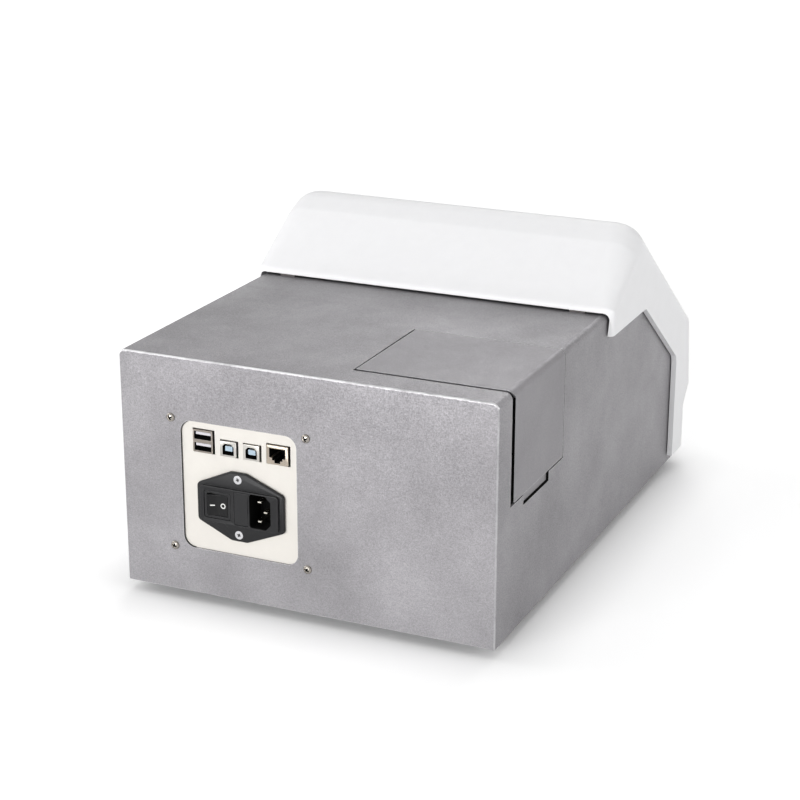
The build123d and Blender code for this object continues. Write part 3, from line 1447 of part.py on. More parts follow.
# Plate spring: a leaf in the gap of the nest's rim that holds the microplate against the far wall
with BuildPart() as plate_spring:
    with Locations(spot(nest_x + 0.3, (nest_rear + nest_front) / 2, ledge_z + sill_h)):
        Box(0.6, 33.6, rim_h - 2 * sill_h, align=(Align.MIN, Align.CENTER, Align.MIN))
plate_spring.part.label = "plate_spring"
export_step(plate_spring.part, "parts/plate_spring.step")

# Drawer front: closes the slot in the front cover
with BuildPart() as drawer_front:
    with BuildSketch(at_depth(carrier_front)):
        with Locations((0, (slot_z0 + slot_z1) / 2)):
            RectangleRounded(2 * (slot_x - drawer_gap), slot_z1 - slot_z0 - 2 * drawer_gap, 1.5)
    extrude(amount=cover_wall)
drawer_front.part.label = "drawer_front"
export_step(drawer_front.part, "parts/drawer_front.step")

# Belt clamp on the carrier's side, gripping the belt's upper run
belt_r = pulley_r + belt_gap
run_z = axle_z + belt_r
clamp_z = carrier_z
clamp_x1 = belt_x + belt_w / 2 + belt_gap
with BuildPart() as belt_clamp:
    with Locations(spot(carrier_w / 2, clamp_depth, clamp_z)):
        Box(
            2.5,
            clamp_len,
            run_z + belt_t + 3 - clamp_z,
            align=(Align.MIN, Align.CENTER, Align.MIN),
        )
    for z in (run_z - belt_gap - 2.5, run_z + belt_t + belt_gap):
        with Locations(spot(carrier_w / 2, clamp_depth, z)):
            Box(
                clamp_x1 - carrier_w / 2,
                clamp_len,
                2.5,
                align=(Align.MIN, Align.CENTER, Align.MIN),
            )
belt_clamp.part.label = "belt_clamp"
export_step(belt_clamp.part, "parts/belt_clamp.step")

# Motor bracket: an upright plate at the motor's face, on a foot
motor_face_x = axle_x + bracket_t
with BuildPart() as motor_bracket:
    with BuildSketch(Plane.YZ.offset(axle_x)):
        with Locations((rear_y - drive_depth, (deck_z + axle_z + motor_size / 2) / 2)):
            Rectangle(motor_size, axle_z + motor_size / 2 - deck_z)
        with Locations((rear_y - drive_depth, axle_z)):
            Circle(11.2, mode=Mode.SUBTRACT)
    extrude(amount=bracket_t)
    with Locations(spot(axle_x, drive_depth, deck_z)):
        Box(9, motor_size, 2.5, align=(Align.MAX, Align.CENTER, Align.MIN))
motor_bracket.part.label = "motor_bracket"
export_step(motor_bracket.part, "parts/motor_bracket.step")

# Drive motor
with BuildPart() as drive_motor:
    with BuildSketch(Plane.YZ.offset(motor_face_x)):
        with Locations((rear_y - drive_depth, axle_z)):
            motor_sketch()
    extrude(amount=motor_len)
    with BuildSketch(Plane.YZ.offset(motor_face_x)):
        with Locations((rear_y - drive_depth, axle_z)):
            Circle(11)
    extrude(amount=-motor_boss)
    with BuildSketch(Plane.YZ.offset(motor_face_x - motor_boss)):
        with Locations((rear_y - drive_depth, axle_z)):
            Circle(shaft_r + bush_run)
    extrude(amount=motor_boss + shaft_in, mode=Mode.SUBTRACT)
drive_motor.part.label = "drive_motor"
export_step(drive_motor.part, "parts/drive_motor.step")

# A flanged pulley, as its steps along X: start, radius, width
pulley_steps = [
    (belt_x - pulley_w / 2, flange_r, pulley_flange_t),
    (belt_x - pulley_w / 2, pulley_r, pulley_w),
    (belt_x + pulley_w / 2 - pulley_flange_t, flange_r, pulley_flange_t),
]

# Drive pulley with the motor's shaft
with BuildPart() as drive_pulley:
    for start_x, radius, width in pulley_steps:
        with BuildSketch(Plane.YZ.offset(start_x)):
            with Locations((rear_y - drive_depth, axle_z)):
                Circle(radius)
        extrude(amount=width)
    with BuildSketch(Plane.YZ.offset(belt_x)):
        with Locations((rear_y - drive_depth, axle_z)):
            Circle(shaft_r)
    extrude(amount=motor_face_x + shaft_in - 1 - belt_x)
drive_pulley.part.label = "drive_pulley"
export_step(drive_pulley.part, "parts/drive_pulley.step")

# Idler pulley, running on the axle of the rod block
with BuildPart() as idler_pulley:
    for start_x, radius, width in pulley_steps:
        with BuildSketch(Plane.YZ.offset(start_x)):
            with Locations((rear_y - idler_depth, axle_z)):
                Circle(radius)
        extrude(amount=width)
    with BuildSketch(Plane.YZ.offset(belt_x - pulley_w)):
        with Locations((rear_y - idler_depth, axle_z)):
            Circle(shaft_r + bush_run)
    extrude(amount=2 * pulley_w, mode=Mode.SUBTRACT)
idler_pulley.part.label = "idler_pulley"
export_step(idler_pulley.part, "parts/idler_pulley.step")

# Drive belt: one closed loop round both pulleys
belt_mid = (drive_depth + idler_depth) / 2
with BuildPart() as drive_belt:
    with BuildSketch(Plane.YZ.offset(belt_x - belt_w / 2)):
        with Locations((rear_y - belt_mid, axle_z)):
            SlotCenterToCenter(idler_depth - drive_depth, 2 * (belt_r + belt_t))
            SlotCenterToCenter(idler_depth - drive_depth, 2 * belt_r, mode=Mode.SUBTRACT)
    extrude(amount=belt_w)
drive_belt.part.label = "drive_belt"
export_step(drive_belt.part, "parts/drive_belt.step")
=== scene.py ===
import json
from math import atan2, cos, pi, radians, sin, sqrt

import bmesh
import bpy
from mathutils import Matrix, Vector

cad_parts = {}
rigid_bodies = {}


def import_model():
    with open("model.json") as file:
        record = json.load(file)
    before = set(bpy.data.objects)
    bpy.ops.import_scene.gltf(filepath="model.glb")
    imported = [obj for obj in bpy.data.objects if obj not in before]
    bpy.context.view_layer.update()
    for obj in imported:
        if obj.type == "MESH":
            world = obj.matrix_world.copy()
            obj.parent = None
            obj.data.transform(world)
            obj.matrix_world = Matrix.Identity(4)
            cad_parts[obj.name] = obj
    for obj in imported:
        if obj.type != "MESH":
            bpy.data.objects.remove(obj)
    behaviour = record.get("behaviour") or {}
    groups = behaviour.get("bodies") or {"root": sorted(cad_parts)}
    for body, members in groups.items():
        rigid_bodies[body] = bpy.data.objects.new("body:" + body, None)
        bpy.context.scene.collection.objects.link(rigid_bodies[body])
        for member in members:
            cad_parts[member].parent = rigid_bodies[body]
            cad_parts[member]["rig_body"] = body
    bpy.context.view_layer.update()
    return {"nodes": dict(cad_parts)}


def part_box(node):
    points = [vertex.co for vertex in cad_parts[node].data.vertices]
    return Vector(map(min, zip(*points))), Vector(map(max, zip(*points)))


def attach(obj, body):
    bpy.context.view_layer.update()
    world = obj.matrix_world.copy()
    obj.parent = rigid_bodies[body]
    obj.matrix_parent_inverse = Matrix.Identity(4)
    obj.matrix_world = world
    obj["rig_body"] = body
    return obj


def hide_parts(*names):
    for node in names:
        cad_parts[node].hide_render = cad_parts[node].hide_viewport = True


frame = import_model()

# Sizes below are in millimetres and become metres at the last moment.
# Depth runs forward from the rear panel, z runs up from the table.
mm = 0.001
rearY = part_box("case_shell")[1].y / mm
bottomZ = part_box("case_shell")[0].z / mm
scene = bpy.context.scene
scene.view_settings.view_transform = "Standard"


def at(x, depth, z):
    # a point of the model, in metres
    return Vector((x * mm, (rearY - depth) * mm, z * mm))


def pointAt(x, depth, z):
    # the same point in millimetres
    return Vector((x, rearY - depth, z))


def boxOf(node):
    # a node's lowest and highest corner in millimetres
    low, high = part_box(node)
    return low / mm, high / mm


# Node helpers
def addNode(tree, kind, **settings):
    node = tree.nodes.new("ShaderNode" + kind)
    for key, value in settings.items():
        setattr(node, key, value)
    return node


def feed(tree, socket, value):
    # a number or colour goes on the socket itself, anything else is a link
    if isinstance(value, bpy.types.NodeSocket):
        tree.links.new(value, socket)
    else:
        socket.default_value = value


def compute(tree, operation, *values, clamp=False):
    node = addNode(tree, "Math", operation=operation, use_clamp=clamp)
    for socket, value in zip(node.inputs, values):
        feed(tree, socket, value)
    return node.outputs[0]


def blendColour(tree, factor, a, b, mode="MIX"):
    node = addNode(tree, "Mix", data_type="RGBA", blend_type=mode)
    for socket, value in ((node.inputs[0], factor), (node.inputs[6], a), (node.inputs[7], b)):
        feed(tree, socket, value)
    return node.outputs[2]


def spread(tree, value, low, high, outLow=0.0, outHigh=1.0):
    node = addNode(tree, "MapRange")
    for socket, number in zip(node.inputs, (value, low, high, outLow, outHigh)):
        feed(tree, socket, number)
    return node.outputs[0]


def noiseOf(tree, place, scale, detail=2.0, roughness=0.5):
    node = addNode(tree, "TexNoise")
    feed(tree, node.inputs["Vector"], place)
    feed(tree, node.inputs["Scale"], scale)
    node.inputs["Detail"].default_value = detail
    node.inputs["Roughness"].default_value = roughness
    return node.outputs["Fac"]


def times(tree, *values, clamp=False):
    return compute(tree, "MULTIPLY", *values, clamp=clamp)


def axesOf(tree, vector):
    node = addNode(tree, "SeparateXYZ")
    tree.links.new(vector, node.inputs[0])
    return node.outputs


def placeOf(tree):
    return addNode(tree, "TexCoord").outputs["Object"]


def normalOf(tree):
    return addNode(tree, "NewGeometry").outputs["Normal"]


# Camera: the place and direction from which the photograph was taken
view = dict(
    place=(-563.248, 1309.456, 590.303),
    right=(-0.91385283, -0.40603592, 0.00280048),
    up=(0.13655044, -0.30082008, 0.94385447),
    frameSize=800.0,
    focal=2010.55,
    centre=(407.16, 403.68),
)


def placeCamera(values):
    data = bpy.data.cameras.new("photoCamera")
    data.sensor_width = 36.0
    data.lens = values["focal"] / values["frameSize"] * data.sensor_width
    half = values["frameSize"] / 2
    data.shift_x = (half - values["centre"][0]) / values["frameSize"]
    data.shift_y = (values["centre"][1] - half) / values["frameSize"]
    data.clip_start = 0.05
    data.clip_end = 20.0
    right, up = Vector(values["right"]).normalized(), Vector(values["up"]).normalized()
    back = right.cross(up).normalized()
    turn = Matrix((right, back.cross(right), back)).transposed().to_4x4()
    holder = bpy.data.objects.new("photoCamera", data)
    holder.matrix_world = Matrix.Translation(Vector(values["place"]) * mm) @ turn
    scene.collection.objects.link(holder)
    scene.camera = holder


placeCamera(view)
print("camera placed")

# Lamps: a low broad softbox behind, weaker ones at both sides and in front, an even white room
lampValues = dict(
    room=0.25,
    key=dict(place=(0.5, 3.0, 0.3), size=2.0, power=120.0),
    side=dict(place=(-2.7, 0.2, 0.7), size=1.8, power=30.0),
    front=dict(place=(0.3, -2.4, 2.2), size=2.0, power=28.0),
    left=dict(place=(2.6, 0.2, 1.5), size=1.8, power=20.0),
    farGlow=(0.6, 3.0, 0.43, 0.85),
    shadowReach=0.05,
    shadowDepth=1.2,
    floorColour=(0.9, 0.9, 0.9, 1),
    floorRough=0.9,
    floorReach=6.0,
)


def addSoftbox(name, values):
    data = bpy.data.lights.new(name, "AREA")
    data.shape = "SQUARE"
    data.size = values["size"]
    data.energy = values["power"]
    lamp = bpy.data.objects.new(name, data)
    place = Vector(values["place"])
    lamp.location = place
    lamp.rotation_euler = (place - Vector((0, 0, 0.1))).to_track_quat("Z", "Y").to_euler()
    scene.collection.objects.link(lamp)


for lampName in ("key", "side", "front", "left"):
    addSoftbox(lampName + "Softbox", lampValues[lampName])


def seenDirectly(tree):
    # 1 where the eye, a mirror or a glass looks straight at the surface
    path = addNode(tree, "LightPath").outputs
    first = compute(tree, "MAXIMUM", path["Is Camera Ray"], path["Is Glossy Ray"])
    return compute(tree, "MAXIMUM", first, path["Is Transmission Ray"])


def lightRoom(values):
    world = bpy.data.worlds.new("whiteRoom")
    world.use_nodes = True
    tree = world.node_tree
    room, wall = tree.nodes["Background"], addNode(tree, "Background")
    for background, strength in ((room, values["room"]), (wall, 1.0)):
        background.inputs["Color"].default_value = (1, 1, 1, 1)
        background.inputs["Strength"].default_value = strength
    pick = addNode(tree, "MixShader")
    for socket, source in zip(pick.inputs, (seenDirectly(tree), room.outputs[0], wall.outputs[0])):
        tree.links.new(source, socket)
    tree.links.new(pick.outputs[0], tree.nodes["World Output"].inputs["Surface"])
    scene.world = world


def layFloor(values):
    # a large white sheet that keeps the soft shadow
    finish = bpy.data.materials.new("floorSheet")
    finish.use_nodes = True
    tree = finish.node_tree
    sheet = tree.nodes["Principled BSDF"]
    sheet.inputs["Base Color"].default_value = values["floorColour"]
    sheet.inputs["Roughness"].default_value = values["floorRough"]
    sheet.inputs["Specular IOR Level"].default_value = 0.0
    # the glow grows where the lamps no longer reach
    away = addNode(tree, "VectorMath", operation="LENGTH")
    tree.links.new(placeOf(tree), away.inputs[0])
    grow = addNode(tree, "MapRange", interpolation_type="SMOOTHSTEP")
    for socket, value in zip(grow.inputs, (away.outputs["Value"], *values["farGlow"])):
        feed(tree, socket, value)
    # and fades under and beside the object, where its shadow lies
    openness = addNode(tree, "AmbientOcclusion")
    openness.inputs["Distance"].default_value = values["shadowReach"]
    fade = compute(tree, "POWER", openness.outputs["AO"], values["shadowDepth"])
    glow = addNode(tree, "Emission")
    lift = times(tree, seenDirectly(tree), grow.outputs["Result"])
    feed(tree, glow.inputs["Strength"], times(tree, lift, fade))
    total = addNode(tree, "AddShader")
    tree.links.new(sheet.outputs[0], total.inputs[0])
    tree.links.new(glow.outputs[0], total.inputs[1])
    tree.links.new(total.outputs[0], tree.nodes["Material Output"].inputs["Surface"])
    mesh = bpy.data.meshes.new("floorSheet")
    reach = values["floorReach"]
    corners = [(-reach, -reach, 0), (reach, -reach, 0), (reach, reach, 0), (-reach, reach, 0)]
    mesh.from_pydata(corners, [], [(0, 1, 2, 3)])
    mesh.materials.append(finish)
    floor = bpy.data.objects.new("floorSheet", mesh)
    scene.collection.objects.link(floor)


lightRoom(lampValues)
layFloor(lampValues)
print("lamps and floor set")


def newEffect(name, inputs, outputs):
    tree = bpy.data.node_groups.new(name, "ShaderNodeTree")
    for label, value in inputs.items():
        kind = "NodeSocketVector" if isinstance(value, tuple) else "NodeSocketFloat"
        socket = tree.interface.new_socket(name=label, in_out="INPUT", socket_type=kind)
        socket.default_value = value
    for label in outputs:
        tree.interface.new_socket(name=label, in_out="OUTPUT", socket_type="NodeSocketFloat")
    return tree, tree.nodes.new("NodeGroupInput").outputs, tree.nodes.new("NodeGroupOutput").inputs


def useEffect(tree, effect, **values):
    node = addNode(tree, "Group", node_tree=effect)
    for label, value in values.items():
        feed(tree, node.inputs[label], value)
    return node.outputs


# Shared effects, each one a node group. Their sizes are in metres.
def makeGrain():
    # a fine uneven surface: Height for the bump, Shade for a slow change of tone
    needs = {"Size": 0.001, "Stretch": (1.0, 1.0, 1.0)}
    tree, given, out = newEffect("surfaceGrain", needs, ("Height", "Shade"))
    stretched = addNode(tree, "VectorMath", operation="MULTIPLY")
    tree.links.new(placeOf(tree), stretched.inputs[0])
    tree.links.new(given["Stretch"], stretched.inputs[1])
    place = stretched.outputs[0]
    fine = compute(tree, "DIVIDE", 1.0, given["Size"])
    feed(tree, out["Height"], noiseOf(tree, place, fine, 3.0, 0.6))
    slow = noiseOf(tree, place, times(tree, fine, 0.03), 4.0, 0.6)
    feed(tree, out["Shade"], spread(tree, slow, 0.3, 0.7))
    return tree


def makeFlake():
    # powder coat with metal flake: bright and dark specks of two sizes
    tree, given, out = newEffect("coatFlake", {"Size": 0.001}, ("Speck", "Height"))
    place = placeOf(tree)
    scale = compute(tree, "DIVIDE", 1.0, given["Size"])
    cells = addNode(tree, "TexVoronoi")
    feed(tree, cells.inputs["Vector"], place)
    feed(tree, cells.inputs["Scale"], scale)
    parts = addNode(tree, "SeparateColor")
    tree.links.new(cells.outputs["Color"], parts.inputs[0])
    clouds = noiseOf(tree, place, times(tree, scale, 0.42), 2.0, 0.7)
    both = compute(tree, "ADD", times(tree, parts.outputs[0], 0.55), times(tree, clouds, 0.9))
    feed(tree, out["Speck"], spread(tree, both, 0.35, 1.1))
    feed(tree, out["Height"], compute(tree, "ADD", clouds, times(tree, cells.outputs["Distance"], 0.3)))
    return tree


def makeWearAndHighlight():
    # where an edge is rubbed, and a painted highlight along edges: the bent normal leaves the true one near
    # an edge
    tree, given, out = newEffect("edgeWearAndHighlight", {"Radius": 0.0006, "Patch": 0.006, "Reach": 0.0}, ("Mask",))
    bent = addNode(tree, "Bevel", samples=4)
    tree.links.new(given["Radius"], bent.inputs["Radius"])
    turned = addNode(tree, "VectorMath", operation="DOT_PRODUCT")
    tree.links.new(bent.outputs[0], turned.inputs[0])
    tree.links.new(normalOf(tree), turned.inputs[1])
    edge = spread(tree, turned.outputs["Value"], 0.99, 0.86)
    place = placeOf(tree)
    patches = noiseOf(tree, place, compute(tree, "DIVIDE", 1.0, given["Patch"]), 4.0, 0.7)
    shown = spread(tree, compute(tree, "ADD", patches, given["Reach"]), 0.38, 0.62)
    feed(tree, out["Mask"], times(tree, edge, shown, clamp=True))
    return tree


def makePaintedFoldHighlight():
    # a painted highlight on the outer bend of sheet metal folded at the rear panel: faces turned partly
    # rearward and up are lightened in patches, as a lamp's glint would light them
    tree, given, out = newEffect("paintedFoldHighlight", {"Patch": 0.02}, ("Mask",))
    _, toRear, upward = axesOf(tree, normalOf(tree))
    foldHighlight = times(tree, spread(tree, toRear, 0.2, 0.5), spread(tree, toRear, 0.985, 0.9))
    foldHighlight = times(tree, foldHighlight, spread(tree, upward, 0.0, 0.35, 0.3, 1.0))
    place = placeOf(tree)
    patches = noiseOf(tree, place, compute(tree, "DIVIDE", 1.0, given["Patch"]), 3.0, 0.6)
    feed(tree, out["Mask"], times(tree, foldHighlight, spread(tree, patches, 0.2, 0.5), clamp=True))
    return tree


def makeDust():
    # a thin film that settles on what faces up
    tree, given, out = newEffect("dustFilm", {"Size": 0.012}, ("Mask",))
    flat = spread(tree, axesOf(tree, normalOf(tree))["Z"], 0.4, 1.0)
    place = placeOf(tree)
    specks = noiseOf(tree, place, compute(tree, "DIVIDE", 1.0, given["Size"]), 6.0, 0.75)
    feed(tree, out["Mask"], times(tree, flat, spread(tree, specks, 0.42, 0.75), clamp=True))
    return tree


def makeTraces():
    # copper tracks under the lacquer of a circuit board, with plated holes
    tree, given, out = newEffect("boardTraces", {"Pitch": 0.0025}, ("Track", "Hole"))
    place = placeOf(tree)
    axes = axesOf(tree, place)
    rows = compute(tree, "DIVIDE", axes["Y"], given["Pitch"])
    columns = compute(tree, "DIVIDE", axes["X"], given["Pitch"])
    zones = noiseOf(tree, place, compute(tree, "DIVIDE", 0.12, given["Pitch"]), 0.0)
    along = compute(tree, "LESS_THAN", compute(tree, "FRACT", rows), 0.3)
    across = compute(tree, "LESS_THAN", compute(tree, "FRACT", columns), 0.3)
    pick = compute(tree, "GREATER_THAN", zones, 0.5)
    ends = noiseOf(tree, place, compute(tree, "DIVIDE", 0.3, given["Pitch"]), 0.0)
    kept = compute(tree, "GREATER_THAN", ends, 0.45)
    other = compute(tree, "SUBTRACT", 1.0, pick)
    mixed = compute(tree, "ADD", times(tree, along, pick), times(tree, across, other))
    feed(tree, out["Track"], times(tree, mixed, kept))
    holes = addNode(tree, "TexVoronoi", distance="CHEBYCHEV")
    feed(tree, holes.inputs["Vector"], place)
    feed(tree, holes.inputs["Scale"], compute(tree, "DIVIDE", 0.28, given["Pitch"]))
    feed(tree, out["Hole"], compute(tree, "LESS_THAN", holes.outputs["Distance"], 0.09))
    return tree


# wearHighlightEffect gives edge wear together with a painted edge highlight
grain, flake, wearHighlightEffect = makeGrain(), makeFlake(), makeWearAndHighlight()
# fold paints a highlight on the rear folds
fold, dust, traces = makePaintedFoldHighlight(), makeDust(), makeTraces()

# Finishes: colours as red, green, blue from 0 to 1 in the picture's own scale.
# tone: how far the colour varies; size: grain in mm; bump: its height in mm; wornAndHighlit: how far edges
# show through, as wear and as a painted edge highlight; bareAndHighlight: the colour they show; rim: how
# wide, in mm; reach: how much further than the patches allow; fold: how strongly the rear folds get a
# painted highlight.
# A finish gives only what differs from the common values.
commonLook = dict(
    metal=0.0, gloss=0.5, rough=0.4, tone=0.1, size=0.4, bump=0.006, wornAndHighlit=0.3, rim=0.7, reach=0.0,
    stretch=(1, 1, 1),
)
finishes = dict(
    # silverCoat and silverLid: their edge settings paint a highlight along edges as well as wear, and fold
    # paints a highlight on the rear folds
    silverCoat=dict(
        colour=(0.582, 0.575, 0.586), bareAndHighlight=(0.9, 0.9, 0.905), metal=0.45, gloss=0.1, rough=0.42,
        tone=0.05, size=0.5, bump=0.035, wornAndHighlit=0.4, rim=1.0, reach=0.1, speck=0.2, cloud=0.16, fold=0.85,
    ),
    silverLid=dict(
        colour=(0.57, 0.562, 0.574), bareAndHighlight=(0.84, 0.84, 0.85), metal=0.4, gloss=0.1, rough=0.42, tone=0.04,
        size=0.45, bump=0.015, wornAndHighlit=0.75, rim=0.9, reach=0.12, speck=0.1, cloud=0.1,
    ),
    whiteCover=dict(
        colour=(0.955, 0.955, 0.96), bareAndHighlight=(1.0, 1.0, 1.0), rough=0.42, tone=0.02, size=0.35, bump=0.012,
        wornAndHighlit=0.15,
    ),
    creamPlate=dict(
        colour=(0.85, 0.835, 0.81), bareAndHighlight=(0.9, 0.89, 0.87), rough=0.38, tone=0.04, bump=0.012, wornAndHighlit=0.35,
    ),
    zincSheet=dict(
        colour=(0.74, 0.75, 0.76), bareAndHighlight=(0.92, 0.92, 0.92), metal=0.9, rough=0.36, tone=0.12, size=0.6,
        bump=0.01, stretch=(1.0, 0.12, 1.0),
    ),
    machinedAlloy=dict(
        colour=(0.78, 0.79, 0.8), bareAndHighlight=(0.95, 0.95, 0.95), metal=0.95, rough=0.3, tone=0.08, size=0.25,
        stretch=(1.0, 0.06, 1.0),
    ),
    blackAlloy=dict(
        colour=(0.13, 0.13, 0.14), bareAndHighlight=(0.6, 0.6, 0.62), metal=0.6, rough=0.38, tone=0.12, size=0.3,
        wornAndHighlit=0.5,
    ),
    brightSteel=dict(
        colour=(0.83, 0.83, 0.84), bareAndHighlight=(0.97, 0.97, 0.97), metal=1.0, rough=0.2, tone=0.08, size=0.3,
        bump=0.003, wornAndHighlit=0.2,
    ),
    groundRod=dict(
        colour=(0.8, 0.8, 0.81), bareAndHighlight=(0.95, 0.95, 0.95), metal=1.0, rough=0.14, tone=0.06, size=0.2,
        bump=0.002, wornAndHighlit=0.1, stretch=(1.0, 0.1, 1.0),
    ),
    darkShell=dict(
        colour=(0.56, 0.53, 0.5), bareAndHighlight=(0.85, 0.83, 0.8), metal=0.9, rough=0.3, tone=0.14, size=0.5,
        bump=0.004, wornAndHighlit=0.4,
    ),
    brightShell=dict(
        colour=(0.74, 0.73, 0.71), bareAndHighlight=(0.92, 0.91, 0.89), metal=0.9, rough=0.32, size=0.5, bump=0.004,
        wornAndHighlit=0.4,
    ),
    warmShell=dict(
        colour=(0.66, 0.62, 0.57), bareAndHighlight=(0.9, 0.87, 0.83), metal=0.9, rough=0.3, tone=0.12, size=0.5,
        bump=0.004, wornAndHighlit=0.4,
    ),
    nickelPin=dict(
        colour=(0.86, 0.84, 0.8), bareAndHighlight=(0.96, 0.95, 0.9), metal=1.0, rough=0.2, tone=0.06, size=0.3,
        bump=0.002, wornAndHighlit=0.2,
    ),
    goldContact=dict(
        colour=(0.87, 0.68, 0.33), bareAndHighlight=(0.95, 0.8, 0.5), metal=1.0, rough=0.22, tone=0.08, size=0.2,
        bump=0.001, wornAndHighlit=0.1,
    ),
    brassPart=dict(
        colour=(0.75, 0.6, 0.34), bareAndHighlight=(0.9, 0.76, 0.5), metal=1.0, rough=0.32, tone=0.12, size=0.3,
        bump=0.004,
    ),
    inletBlack=dict(
        colour=(0.075, 0.075, 0.083), bareAndHighlight=(0.42, 0.42, 0.43), gloss=0.3, rough=0.44, size=0.35,
        bump=0.012, wornAndHighlit=0.35,
    ),
    rockerBlack=dict(
        colour=(0.035, 0.035, 0.042), bareAndHighlight=(0.35, 0.35, 0.36), gloss=0.25, rough=0.34, tone=0.08,
    ),
    drawerBlack=dict(
        colour=(0.09, 0.09, 0.098), bareAndHighlight=(0.42, 0.42, 0.43), gloss=0.3, rough=0.42, tone=0.08, size=0.35,
        bump=0.012, wornAndHighlit=0.35,
    ),
    # painted shade: a near black laid where hollows, mouths and gaps fall in shade
    paintedShadeBlack=dict(
        colour=(0.03, 0.03, 0.03), bareAndHighlight=(0.05, 0.05, 0.05), gloss=0.08, rough=0.8, tone=0.2, bump=0.004,
        wornAndHighlit=0.0,
    ),
    screwSteel=dict(
        colour=(0.64, 0.62, 0.59), bareAndHighlight=(0.9, 0.88, 0.85), metal=1.0, rough=0.22, tone=0.14, size=0.3,
        bump=0.004, wornAndHighlit=0.4,
    ),
    # a real black for the fan and its rotor, and painted shade on the window's edge
    deepBlackAndShade=dict(colour=(0.07, 0.07, 0.075), bareAndHighlight=(0.25, 0.25, 0.25), rough=0.5, bump=0.008, wornAndHighlit=0.2),
    markWhite=dict(
        colour=(0.9, 0.9, 0.89), bareAndHighlight=(0.7, 0.7, 0.7), rough=0.5, tone=0.05, size=0.2, bump=0.003,
        wornAndHighlit=0.1,
    ),
    tongueWhite=dict(
        colour=(0.8, 0.79, 0.81), bareAndHighlight=(0.95, 0.95, 0.95), tone=0.05, size=0.3, bump=0.003, wornAndHighlit=0.1,
    ),
    tongueBlue=dict(
        colour=(0.66, 0.735, 0.79), bareAndHighlight=(0.8, 0.88, 0.93), tone=0.05, size=0.3, bump=0.003, wornAndHighlit=0.1,
    ),
    rubberGrey=dict(
        colour=(0.16, 0.16, 0.165), bareAndHighlight=(0.32, 0.32, 0.32), rough=0.78, tone=0.2, size=0.5, bump=0.03,
        wornAndHighlit=0.5,
    ),
    padGrey=dict(
        colour=(0.34, 0.32, 0.32), bareAndHighlight=(0.65, 0.65, 0.65), rough=0.7, size=0.5, bump=0.02, wornAndHighlit=0.2,
    ),
    beltRubber=dict(
        colour=(0.1, 0.1, 0.1), bareAndHighlight=(0.25, 0.25, 0.25), rough=0.66, tone=0.15, size=0.3, bump=0.02,
        wornAndHighlit=0.4,
    ),
    motorSteel=dict(
        colour=(0.66, 0.66, 0.68), bareAndHighlight=(0.88, 0.88, 0.88), metal=0.9, rough=0.34, wornAndHighlit=0.4,
        stretch=(0.1, 1.0, 1.0),
    ),
    chipBlack=dict(
        colour=(0.14, 0.14, 0.15), bareAndHighlight=(0.3, 0.3, 0.3), rough=0.55, tone=0.08, size=0.2, wornAndHighlit=0.2,
    ),
    canSleeve=dict(
        colour=(0.12, 0.16, 0.24), bareAndHighlight=(0.4, 0.45, 0.5), rough=0.35, tone=0.08, size=0.5, bump=0.004,
    ),
    windingTape=dict(
        colour=(0.85, 0.7, 0.22), bareAndHighlight=(0.92, 0.82, 0.45), tone=0.12, size=0.6, bump=0.01, wornAndHighlit=0.2,
    ),
    ferrite=dict(
        colour=(0.2, 0.2, 0.2), bareAndHighlight=(0.36, 0.36, 0.36), metal=0.1, rough=0.6, tone=0.15, bump=0.02,
        wornAndHighlit=0.4,
    ),
    ceramic=dict(
        colour=(0.9, 0.88, 0.83), bareAndHighlight=(0.97, 0.96, 0.93), rough=0.5, tone=0.06, size=0.3, bump=0.01,
        wornAndHighlit=0.2,
    ),
    greenPlastic=dict(colour=(0.2, 0.5, 0.32), bareAndHighlight=(0.4, 0.65, 0.5), tone=0.08, bump=0.008),
    sheathBlack=dict(colour=(0.09, 0.09, 0.1), bareAndHighlight=(0.25, 0.25, 0.26), rough=0.35),
    panelFrame=dict(colour=(0.3, 0.31, 0.33), bareAndHighlight=(0.6, 0.6, 0.6), metal=0.7, size=0.5),
)


def linear(colour):
    # a colour as the picture shows it, turned into the light it stands for
    return tuple(c / 12.92 if c <= 0.04045 else ((c + 0.055) / 1.055) ** 2.4 for c in colour) + (1.0,)


